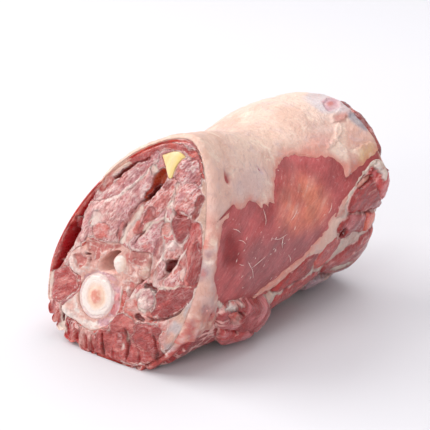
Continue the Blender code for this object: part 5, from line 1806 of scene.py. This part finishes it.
def build_rear_rim():
    """The soft roll of dark red muscle along the top of the rear cut."""
    rows = 64
    columns = 48
    seed = 100
    path = open_curve(RIM_PATH, rows)
    step = np.linspace(0.0, 1.0, rows)
    place = np.linspace(0.0, 1.0, len(RIM_WIDTHS))
    taper = np.sqrt(np.clip(1.0 - (2.0 * step - 1.0) ** 8, 0.0, 1.0))
    width = np.interp(step, place, RIM_WIDTHS) * taper
    height = np.interp(step, place, RIM_HEIGHTS) * taper
    ahead = np.gradient(path, axis=0)
    ahead /= np.linalg.norm(ahead, axis=1)[:, None]
    outward = path - np.array((0.0, 0.0, 46.0))
    outward[:, 1] = 0.0
    outward -= ahead * np.sum(outward * ahead, axis=1)[:, None]
    outward /= np.linalg.norm(outward, axis=1)[:, None]
    sideways = np.cross(ahead, outward)
    angle = np.linspace(0.0, 2.0 * math.pi, columns, endpoint=False)[None, :, None]
    across = sideways[:, None, :] * (np.cos(angle) * width[:, None, None])
    raised = outward[:, None, :] * (np.sin(angle) * height[:, None, None])
    points = (path[:, None, :] + across + raised).reshape(-1, 3)
    reach = points - np.repeat(path, columns, axis=0)
    size = np.maximum(np.linalg.norm(reach, axis=1), 1e-6)[:, None]
    swell = 0.9 * (layered(points, (6.0, 11.0, 6.0), seed) + 0.35 * noise(points, 2.2, seed + 3))
    points = points + reach / size * (swell * np.minimum(size[:, 0] / 2.0, 1.0))[:, None]
    streak = np.column_stack((points[:, 0], points[:, 1] * 0.35, points[:, 2]))
    tones = mottle("deep", "salmon", smooth(-0.25, 0.5, layered(streak, 4.0, seed + 5)))
    run = np.sum(np.linalg.norm(np.diff(path, axis=0), axis=1))
    round_it = np.tile(np.arange(columns) * (2.0 * math.pi * 5.0 / columns), rows)
    grain = np.column_stack((np.repeat(step * run, columns), round_it, np.full(len(points), float(seed))))
    points = np.vstack((points, path[:1], path[-1:]))
    points[:, 2] = np.maximum(points[:, 2], 0.0)
    tones = np.vstack((tones, tones[:1], tones[-1:]))
    grain = np.vstack((grain, grain[:1], grain[-1:]))
    numbers = np.arange(rows * columns).reshape(rows, columns)
    after = np.roll(numbers, -1, axis=1)
    quads = np.stack((numbers[:-1], numbers[1:], after[1:], after[:-1]), axis=-1).reshape(-1, 4)
    start, end = rows * columns, rows * columns + 1
    faces = quads.tolist()
    faces += [(start, int(a), int(b)) for a, b in zip(numbers[0], after[0])]
    faces += [(end, int(b), int(a)) for a, b in zip(numbers[-1], after[-1])]
    fields = {"tone": tones, "grain": grain, "finish": np.tile((0.9, 1.0, 0.9), (len(points), 1))}
    return make_piece("rear_rim", points, faces, fields, "Cut_muscle", "muscle")


def along_at(y, degrees, growth):
    """Where along the neck a point of this y lies, for each angle."""
    along = np.interp(y, STATIONS[:, 0], np.arange(LAST + 1.0)) + (y > REAR_Y) * (y - REAR_Y) / 34.0
    for _ in range(6):
        along = along + (y - surface(along, degrees, growth)[:, 1]) / 36.0
    return along


def build_low_side():
    """The loose lower right side: strips of red muscle and fat, rolls, hollows and a swollen end."""
    outline = closed_curve(LOW_SIDE)

    def distance_at(places):
        flat = np.column_stack((places, np.full(len(places), 2.0)))
        jag = 0.8 * noise(flat, 4.0, 201) + 0.45 * noise(flat, 1.7, 202)
        return inside_distance(places, outline, 12.0) + jag

    places, quads = cut_grid((-3.0, 155.0, -63.0, 20.0), 0.42, distance_at)
    edge = distance_at(places)
    flat = np.column_stack((places, np.full(len(places), 6.0)))
    found = region_fields(places, LOW_REGIONS, tone("cream"), 0.7, 9, 1.0, 1.2, 0.9)
    height, tones, grain, seam, muscle = found
    plain = muscle < 0.1
    bed = mottle("cream", "rim", smooth(-0.3, 0.5, layered(flat, 7.0, 203)))
    bed = tint(bed, "salmon", 0.5 * smooth(0.2, 0.7, layered(flat, (9.0, 3.0, 5.0), 204)))
    fresh = plain & np.all(np.abs(tones - tone("cream")) < 0.02, axis=1)
    tones = np.where(fresh[:, None], bed, tones)
    folds = ridged(flat, (8.0, 2.0, 5.0), 205)
    lumps = 0.45 * (folds - 0.5) + 0.5 * layered(flat, (7.0, 3.4, 4.0), 206)
    height = height + lumps * (0.6 + 0.4 * muscle)
    veins = smooth(0.80, 0.92, folds) * smooth(-0.1, 0.5, noise(flat, 5.0, 207)) * smooth(0.0, 0.3, muscle)
    marbled = smooth(30.0, 22.0, places[:, 0]) * smooth(0.70, 0.86, ridged(flat, (5.0, 3.4, 5.0), 210))
    tones = tint(tones, "fascia", np.maximum(0.45 * veins, 0.8 * marbled))
    # Deep red painted into the fold creases is painted shade.
    tones = tint(tones, "deep", 0.35 * smooth(0.30, 0.14, folds))
    # Muscle gets a stronger, brighter red: partly a more saturated colour, and partly painted light against
    # the shade on this low side.
    tones = tones * (1.0 + muscle[:, None] * np.array((0.45, -0.10, -0.12)))
    for rise, y, girth, reach_y, reach_girth in SWELLS:
        spread = ((places[:, 0] - y) / reach_y) ** 2 + ((places[:, 1] - girth) / reach_girth) ** 2
        height = height + rise * np.exp(-spread)
    height = mix(np.minimum(height - 2.6, -1.6), height, smooth(-0.2, 2.2, edge))
    rear = smooth(142.0, 150.0, places[:, 0])
    height = height - 3.0 * rear
    degrees = places[:, 1] / GIRTH
    points = surface(along_at(places[:, 0], degrees, height), degrees, height)
    edges = edge_loops(quads)
    rim = np.unique(edges)
    back_y = places[rim, 0].copy()
    back_y = np.where(back_y > 138.0, 138.0 + (back_y - 138.0) * 0.25, np.maximum(back_y, 1.0))
    deep_height = np.full(len(rim), -10.0)
    deep = surface(along_at(back_y, degrees[rim], deep_height), degrees[rim], deep_height)
    middle_y = mix(places[rim, 0], back_y, 0.25)
    lump = np.column_stack((places[rim], np.full(len(rim), 11.0)))
    middle_height = height[rim] - 3.6 + 0.8 * layered(lump, 5.0, 208)
    middle = surface(along_at(middle_y, degrees[rim], middle_height), degrees[rim], middle_height)
    back = flat_fill(places, edges)
    points, faces = solid_from_sheet(points, quads.tolist(), edges, (middle, deep), back, None)
    corners = points[np.array([face[:3] for face in faces[: len(quads)]])]
    outward = np.cross(corners[:, 1] - corners[:, 0], corners[:, 2] - corners[:, 0])[:, 0].sum()
    if outward < 0:
        faces = [tuple(reversed(face)) for face in faces]
    pick = np.concatenate((np.arange(len(places)), rim, rim))
    finish = np.column_stack((0.5 * muscle, np.clip(seam / 6.0, 0.0, 1.0), 0.3 * muscle))
    wall = mottle("deep", "mauve", smooth(-0.3, 0.6, layered(lump, 6.0, 209)))
    fields = {"tone": np.vstack((tones, wall, wall)), "grain": grain[pick], "finish": finish[pick]}
    return make_piece("low_side", points, faces, fields, "Cut_muscle", "muscle")


def side_angle(y, z):
    """The angle and place along the neck of a point on the right flank with this y and z."""
    along = np.array((y + 3.0) / 37.25)
    for _ in range(6):
        row = station_at(np.array([along]))[0]
        along = along + (y - row[0] - row[1] * z) / 37.0
    row = station_at(np.array([along]))[0]
    above = z >= row[5]
    reach = (row[3] - row[5]) if above else (row[5] - row[9])
    power = (row[10] if above else row[13]) / 2.0
    sine = min(abs(z - row[5]) / reach, 1.0) ** power
    degrees = math.degrees(math.asin(sine))
    return float(along), degrees if above else -degrees


def geometry_tree(name, inputs):
    """An empty node tree with a geometry input, an input for each named number, and an output."""
    tree = bpy.data.node_groups.new(name, "GeometryNodeTree")
    for way in ("INPUT", "OUTPUT"):
        tree.interface.new_socket("Geometry", in_out=way, socket_type="NodeSocketGeometry")
    for title, default in inputs.items():
        kind = "NodeSocketInt" if isinstance(default, int) else "NodeSocketFloat"
        tree.interface.new_socket(title, in_out="INPUT", socket_type=kind).default_value = default
    return tree


def run_tree(mesh, tree, values, name):
    """Runs a node tree on a mesh and keeps the result as a plain piece."""
    source = bpy.data.objects.new(name + "_source", mesh)
    bpy.context.scene.collection.objects.link(source)
    modifier = source.modifiers.new(tree.name, "NODES")
    modifier.node_group = tree
    for item in tree.interface.items_tree:
        if item.item_type == "SOCKET" and item.in_out == "INPUT" and item.name in values:
            modifier[item.identifier] = values[item.name]
    bpy.context.view_layer.update()
    graph = bpy.context.evaluated_depsgraph_get()
    result = bpy.data.meshes.new_from_object(source.evaluated_get(graph))
    result.name = name
    source.modifiers.remove(modifier)
    bpy.data.objects.remove(source, do_unlink=True)
    return add_piece(name, result, ())


def finish_tree(tree, nodes, geometry):
    """Makes a tree's geometry real, smooths it, and gives it the membrane's colour and material."""
    real = nodes.add("GeometryNodeRealizeInstances", {"Geometry": geometry}).outputs[0]
    shade = nodes.add("GeometryNodeSetShadeSmooth", {"Geometry": real}).outputs[0]
    inputs = {"Geometry": shade, "Name": "tone", "Value": (*colours().fascia, 1.0)}
    stored = nodes.add("GeometryNodeStoreNamedAttribute", inputs, data_type="FLOAT_COLOR", domain="POINT")
    inputs = {"Geometry": stored.outputs[0], "Material": material("Membrane")}
    painted = nodes.add("GeometryNodeSetMaterial", inputs).outputs[0]
    nodes.add("NodeGroupOutput", {"Geometry": painted})
    return tree


def fleck_tree():
    """Small pale balls, squashed and turned at random, where the attribute fleck is high."""
    tree = geometry_tree("Pale flecks", {"Density": 20000.0, "Length": 0.001, "Seed": 4})
    nodes = Nodes(tree)
    start = nodes.add("NodeGroupInput").outputs
    weight = nodes.add("GeometryNodeInputNamedAttribute", {"Name": "fleck"}, data_type="FLOAT").outputs[0]
    inputs = {"Mesh": start["Geometry"], "Seed": start["Seed"]}
    inputs["Density"] = nodes.times(start["Density"], weight)
    scatter = nodes.add("GeometryNodeDistributePointsOnFaces", inputs, distribute_method="RANDOM").outputs
    ball = nodes.add("GeometryNodeMeshIcoSphere", {"Radius": 0.5, "Subdivisions": 2}).outputs[0]
    flat = nodes.add("GeometryNodeTransform", {"Geometry": ball, "Scale": (1.0, 0.42, 0.26)}).outputs[0]
    size = nodes.add("FunctionNodeRandomValue", {2: 0.3, 3: 1.2, "Seed": 11}, data_type="FLOAT").outputs[1]
    spin = nodes.add("FunctionNodeRandomValue", {2: -0.9, 3: 0.9, "Seed": 5}, data_type="FLOAT").outputs[1]
    inputs = {"Axis": (0.0, 0.0, 1.0), "Angle": spin}
    turned = nodes.add("FunctionNodeAxisAngleToRotation", inputs).outputs[0]
    inputs = {"Rotation": scatter["Rotation"], "Rotate By": turned}
    rotation = nodes.add("FunctionNodeRotateRotation", inputs, rotation_space="LOCAL").outputs[0]
    inputs = {"Points": scatter["Points"], "Instance": flat, "Rotation": rotation}
    inputs["Scale"] = nodes.times(start["Length"], size)
    return finish_tree(tree, nodes, nodes.add("GeometryNodeInstanceOnPoints", inputs).outputs[0])


def strand_tree():
    """Thin tapering tubes along the edges of a mesh."""
    tree = geometry_tree("White strands", {"Width": 0.0005, "Spacing": 0.0006})
    nodes = Nodes(tree)
    start = nodes.add("NodeGroupInput").outputs
    curve = nodes.add("GeometryNodeMeshToCurve", {"Mesh": start["Geometry"]}).outputs[0]
    inputs = {"Curve": curve, "Length": start["Spacing"]}
    even = nodes.add("GeometryNodeResampleCurve", inputs, mode="LENGTH").outputs[0]
    place = nodes.add("GeometryNodeSplineParameter").outputs["Factor"]
    away = nodes.math("ABSOLUTE", nodes.math("SUBTRACT", nodes.times(place, 2.0), 1.0))
    thin = nodes.math("SUBTRACT", 1.0, nodes.math("POWER", away, 3.0))
    rough = nodes.add("ShaderNodeTexNoise", {"Scale": 900.0, "Detail": 2.0}).outputs["Fac"]
    width = nodes.times(nodes.times(thin, start["Width"]), rough)
    ring = nodes.add("GeometryNodeCurvePrimitiveCircle", {"Resolution": 8, "Radius": 1.0}).outputs[0]
    inputs = {"Curve": even, "Profile Curve": ring, "Scale": nodes.plus(width, 0.00002), "Fill Caps": True}
    return finish_tree(tree, nodes, nodes.add("GeometryNodeCurveToMesh", inputs).outputs[0])


def scattered_flecks(source_name, name, seed, density):
    """Flecks on a copy of a finished piece, in clumps where its muscle is pale."""
    mesh = bpy.data.objects[source_name].data.copy()
    finish = np.empty(len(mesh.vertices) * 4, dtype=np.float32)
    mesh.attributes["finish"].data.foreach_get("color", finish)
    weight = finish.reshape(-1, 4)[:, 2]
    places = np.empty(len(mesh.vertices) * 3, dtype=np.float32)
    mesh.vertices.foreach_get("co", places)
    places = places.reshape(-1, 3) / MM
    clumps = smooth(-0.1, 0.7, layered(places, 9.0, seed)) * (places[:, 2] > 2.0)
    layer = mesh.attributes.new("fleck", "FLOAT", "POINT")
    layer.data.foreach_set("value", (np.clip(weight, 0.0, 1.0) * clumps).astype(np.float32))
    values = {"Density": density, "Length": sizes().fleck_size, "Seed": seed}
    return run_tree(mesh, fleck_tree(), values, name)


# ---------------------------------------------------------------- operators


class LAMBNECK_OT_cut_faces(bpy.types.Operator):
    """Build the muscles of the two cut faces"""

    bl_idname = "lamb_neck.cut_faces"
    bl_label = "Cut faces"

    def execute(self, context):
        build_cut("cut_face_front", False, 3)
        build_cut("cut_face_rear", True, 4)
        return {"FINISHED"}


class LAMBNECK_OT_body(bpy.types.Operator):
    """Build the muscle body between the cut faces"""

    bl_idname = "lamb_neck.body"
    bl_label = "Muscle body"

    def execute(self, context):
        build_body()
        return {"FINISHED"}


class LAMBNECK_OT_fat(bpy.types.Operator):
    """Build the sheet of fat over the top and flanks"""

    bl_idname = "lamb_neck.fat"
    bl_label = "Outer fat"

    def execute(self, context):
        build_fat()
        return {"FINISHED"}


class LAMBNECK_OT_bone(bpy.types.Operator):
    """Build the neck bone with its open canal, and the two discs"""

    bl_idname = "lamb_neck.bone"
    bl_label = "Bone and discs"

    def execute(self, context):
        build_bone()
        build_disc("spine_disc_front_visual", False, 7, "spine_disc_front")
        build_disc("spine_disc_rear_visual", True, 8, "spine_disc_rear")
        return {"FINISHED"}


class LAMBNECK_OT_ligament(bpy.types.Operator):
    """Build the yellow ligament at the top of the neck"""

    bl_idname = "lamb_neck.ligament"
    bl_label = "Ligament"

    def execute(self, context):
        build_ligament()
        return {"FINISHED"}


class LAMBNECK_OT_bundles(bpy.types.Operator):
    """Build the loose strips and rolls along the right side and round the rear cut"""

    bl_idname = "lamb_neck.bundles"
    bl_label = "Loose rolls"

    def execute(self, context):
        build_low_side()
        build_rear_rim()
        return {"FINISHED"}


class LAMBNECK_OT_strands(bpy.types.Operator):
    """Lay the thin white strands over the flank muscle"""

    bl_idname = "lamb_neck.strands"
    bl_label = "White strands"

    def execute(self, context):
        points = []
        edges = []
        chance = np.random.RandomState(12)
        paths = [in_pairs(path) for path in STRANDS]
        middle = closed_curve(LOW_PURPLE)
        for spot in chance.uniform((28.0, 30.0), (104.0, 68.0), (70, 2)):
            if inside_distance(spot[None, :], middle, 12.0)[0] > -8.0:
                turn = math.radians(38.0 + chance.uniform(-28.0, 28.0))
                half = chance.uniform(0.4, 1.0)
                step = np.array((math.cos(turn), math.sin(turn))) * half
                paths.append(np.array((spot - step, spot + 0.2 * step[::-1], spot + step)))
        for path in paths:
            line = open_curve(path, 14)
            first = len(points)
            for y, z in line:
                along, degrees = side_angle(float(y), float(z))
                point = surface(np.array([along]), np.array([degrees]), 0.25)[0]
                points.append(tuple((point - ORIGIN) * MM))
            edges += [(first + k, first + k + 1) for k in range(len(line) - 1)]
        mesh = bpy.data.meshes.new("strand_paths")
        mesh.from_pydata(points, edges, [])
        run_tree(mesh, strand_tree(), {"Width": sizes().strand_width}, "white_strands")
        return {"FINISHED"}


class LAMBNECK_OT_flecks(bpy.types.Operator):
    """Scatter the small pale flecks over the muscles"""

    bl_idname = "lamb_neck.flecks"
    bl_label = "Pale flecks"

    def execute(self, context):
        density = sizes().fleck_density
        scattered_flecks("cut_face_front", "flecks_front", 4, density * 2.2)
        scattered_flecks("cut_face_rear", "flecks_rear", 5, density * 2.2)
        scattered_flecks("muscle_body", "flecks_body", 6, density * 0.7)
        return {"FINISHED"}


# Name, place, aim, width and depth, power in watts and colour of each light.
LIGHTS = (
    ("key", (-1.05, -0.35, 0.95), (0.0, 0.0, 0.04), (1.2, 1.1), 18.0, (1.0, 0.985, 0.965)),
    ("top", (0.0, 0.55, 1.25), (0.0, 0.0, 0.04), (0.9, 0.7), 6.4, (1.0, 0.99, 1.0)),
    ("front", (0.25, -1.35, 0.60), (0.0, 0.0, 0.05), (0.6, 0.5), 6.6, (1.0, 0.985, 0.98)),
)
SKY_COLOUR = (0.95, 0.95, 0.97, 1.0)
SKY_STRENGTH = 0.71
CAMERA_AIM = (0.0011, -0.00195, 0.050)
CAMERA_AZIMUTH = math.radians(39.0)
CAMERA_ELEVATION = math.radians(21.0)
CAMERA_DISTANCE = 0.85
CAMERA_LENS = 149.44
SENSOR_WIDTH = 36.0


def soft_light(name, place, aim, size, power, hue):
    data = bpy.data.lights.new(name, "AREA")
    data.shape = "RECTANGLE"
    data.size = size[0]
    data.size_y = size[1]
    data.energy = power
    data.color = hue
    light = bpy.data.objects.new(name, data)
    light.location = place
    light.rotation_euler = (Vector(aim) - Vector(place)).to_track_quat("-Z", "Y").to_euler()
    bpy.context.scene.collection.objects.link(light)


class LAMBNECK_OT_stage(bpy.types.Operator):
    """Set the floor, the lights and the camera"""

    bl_idname = "lamb_neck.stage"
    bl_label = "Stage"

    def execute(self, context):
        reach = sizes().floor_reach
        mesh = bpy.data.meshes.new("floor")
        corners = [(-reach, -reach, 0.0), (reach, -reach, 0.0), (reach, reach, 0.0), (-reach, reach, 0.0)]
        mesh.from_pydata(corners, [], [(0, 1, 2, 3)])
        floor = bpy.data.objects.new("floor", mesh)
        bpy.context.scene.collection.objects.link(floor)
        paper, nodes, shader = new_material("Studio_paper")
        place = nodes.place()
        cloud = nodes.noise(place, 3.0, 2.0)
        share = nodes.ramp(cloud, 0.3, 0.7, 0.0, 0.03)
        tinted = nodes.blend(share, (*colours().floor, 1.0), (0.9, 0.88, 0.92, 1.0))
        nodes.put(shader.inputs["Base Color"], tinted)
        shader.inputs["Roughness"].default_value = 0.62
        shader.inputs["Specular IOR Level"].default_value = 0.25
        mesh.materials.append(paper)
        for light in LIGHTS:
            soft_light(*light)
        world = bpy.data.worlds.new("Studio")
        bpy.context.scene.world = world
        world.use_nodes = True
        background = world.node_tree.nodes["Background"]
        background.inputs["Color"].default_value = SKY_COLOUR
        background.inputs["Strength"].default_value = SKY_STRENGTH
        scene = context.scene
        scene.view_settings.view_transform = "Standard"
        scene.view_settings.look = "None"
        level = math.cos(CAMERA_ELEVATION)
        x = math.sin(CAMERA_AZIMUTH) * level
        y = -math.cos(CAMERA_AZIMUTH) * level
        back = Vector((x, y, math.sin(CAMERA_ELEVATION)))
        data = bpy.data.cameras.new("camera")
        data.sensor_width = SENSOR_WIDTH
        data.lens = CAMERA_LENS
        data.clip_start = 0.01
        data.clip_end = 40.0
        data.dof.use_dof = False
        camera = bpy.data.objects.new("camera", data)
        camera.location = Vector(CAMERA_AIM) + back * CAMERA_DISTANCE
        camera.rotation_euler = back.to_track_quat("Z", "Y").to_euler()
        scene.collection.objects.link(camera)
        scene.camera = camera
        return {"FINISHED"}


class LAMBNECK_PT_panel(bpy.types.Panel):
    """Lists the steps and settings of the lamb neck"""

    bl_label = "Lamb neck"
    bl_idname = "LAMBNECK_PT_panel"
    bl_space_type = "VIEW_3D"
    bl_region_type = "UI"
    bl_category = "Lamb neck"

    def draw(self, context):
        layout = self.layout
        for step in STEPS:
            layout.operator(step.bl_idname)
        for group in (context.scene.lamb_neck_sizes, context.scene.lamb_neck_colours):
            for name in group.__annotations__:
                layout.prop(group, name)


STEPS = (
    LAMBNECK_OT_cut_faces,
    LAMBNECK_OT_body,
    LAMBNECK_OT_fat,
    LAMBNECK_OT_bone,
    LAMBNECK_OT_ligament,
    LAMBNECK_OT_bundles,
    LAMBNECK_OT_strands,
    LAMBNECK_OT_flecks,
    LAMBNECK_OT_stage,
)
CLASSES = (LambNeckColours, LambNeckSizes) + STEPS + (LAMBNECK_PT_panel,)


def register():
    for item in CLASSES:
        bpy.utils.register_class(item)
    bpy.types.Scene.lamb_neck_colours = bpy.props.PointerProperty(type=LambNeckColours)
    bpy.types.Scene.lamb_neck_sizes = bpy.props.PointerProperty(type=LambNeckSizes)


def unregister():
    del bpy.types.Scene.lamb_neck_sizes
    del bpy.types.Scene.lamb_neck_colours
    for item in reversed(CLASSES):
        bpy.utils.unregister_class(item)


def main():
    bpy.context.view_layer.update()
    register()
    bpy.ops.lamb_neck.cut_faces()
    bpy.ops.lamb_neck.body()
    bpy.ops.lamb_neck.fat()
    bpy.ops.lamb_neck.bone()
    bpy.ops.lamb_neck.ligament()
    bpy.ops.lamb_neck.bundles()
    bpy.ops.lamb_neck.strands()
    bpy.ops.lamb_neck.flecks()
    bpy.ops.lamb_neck.stage()


if __name__ == "__main__":
    main()
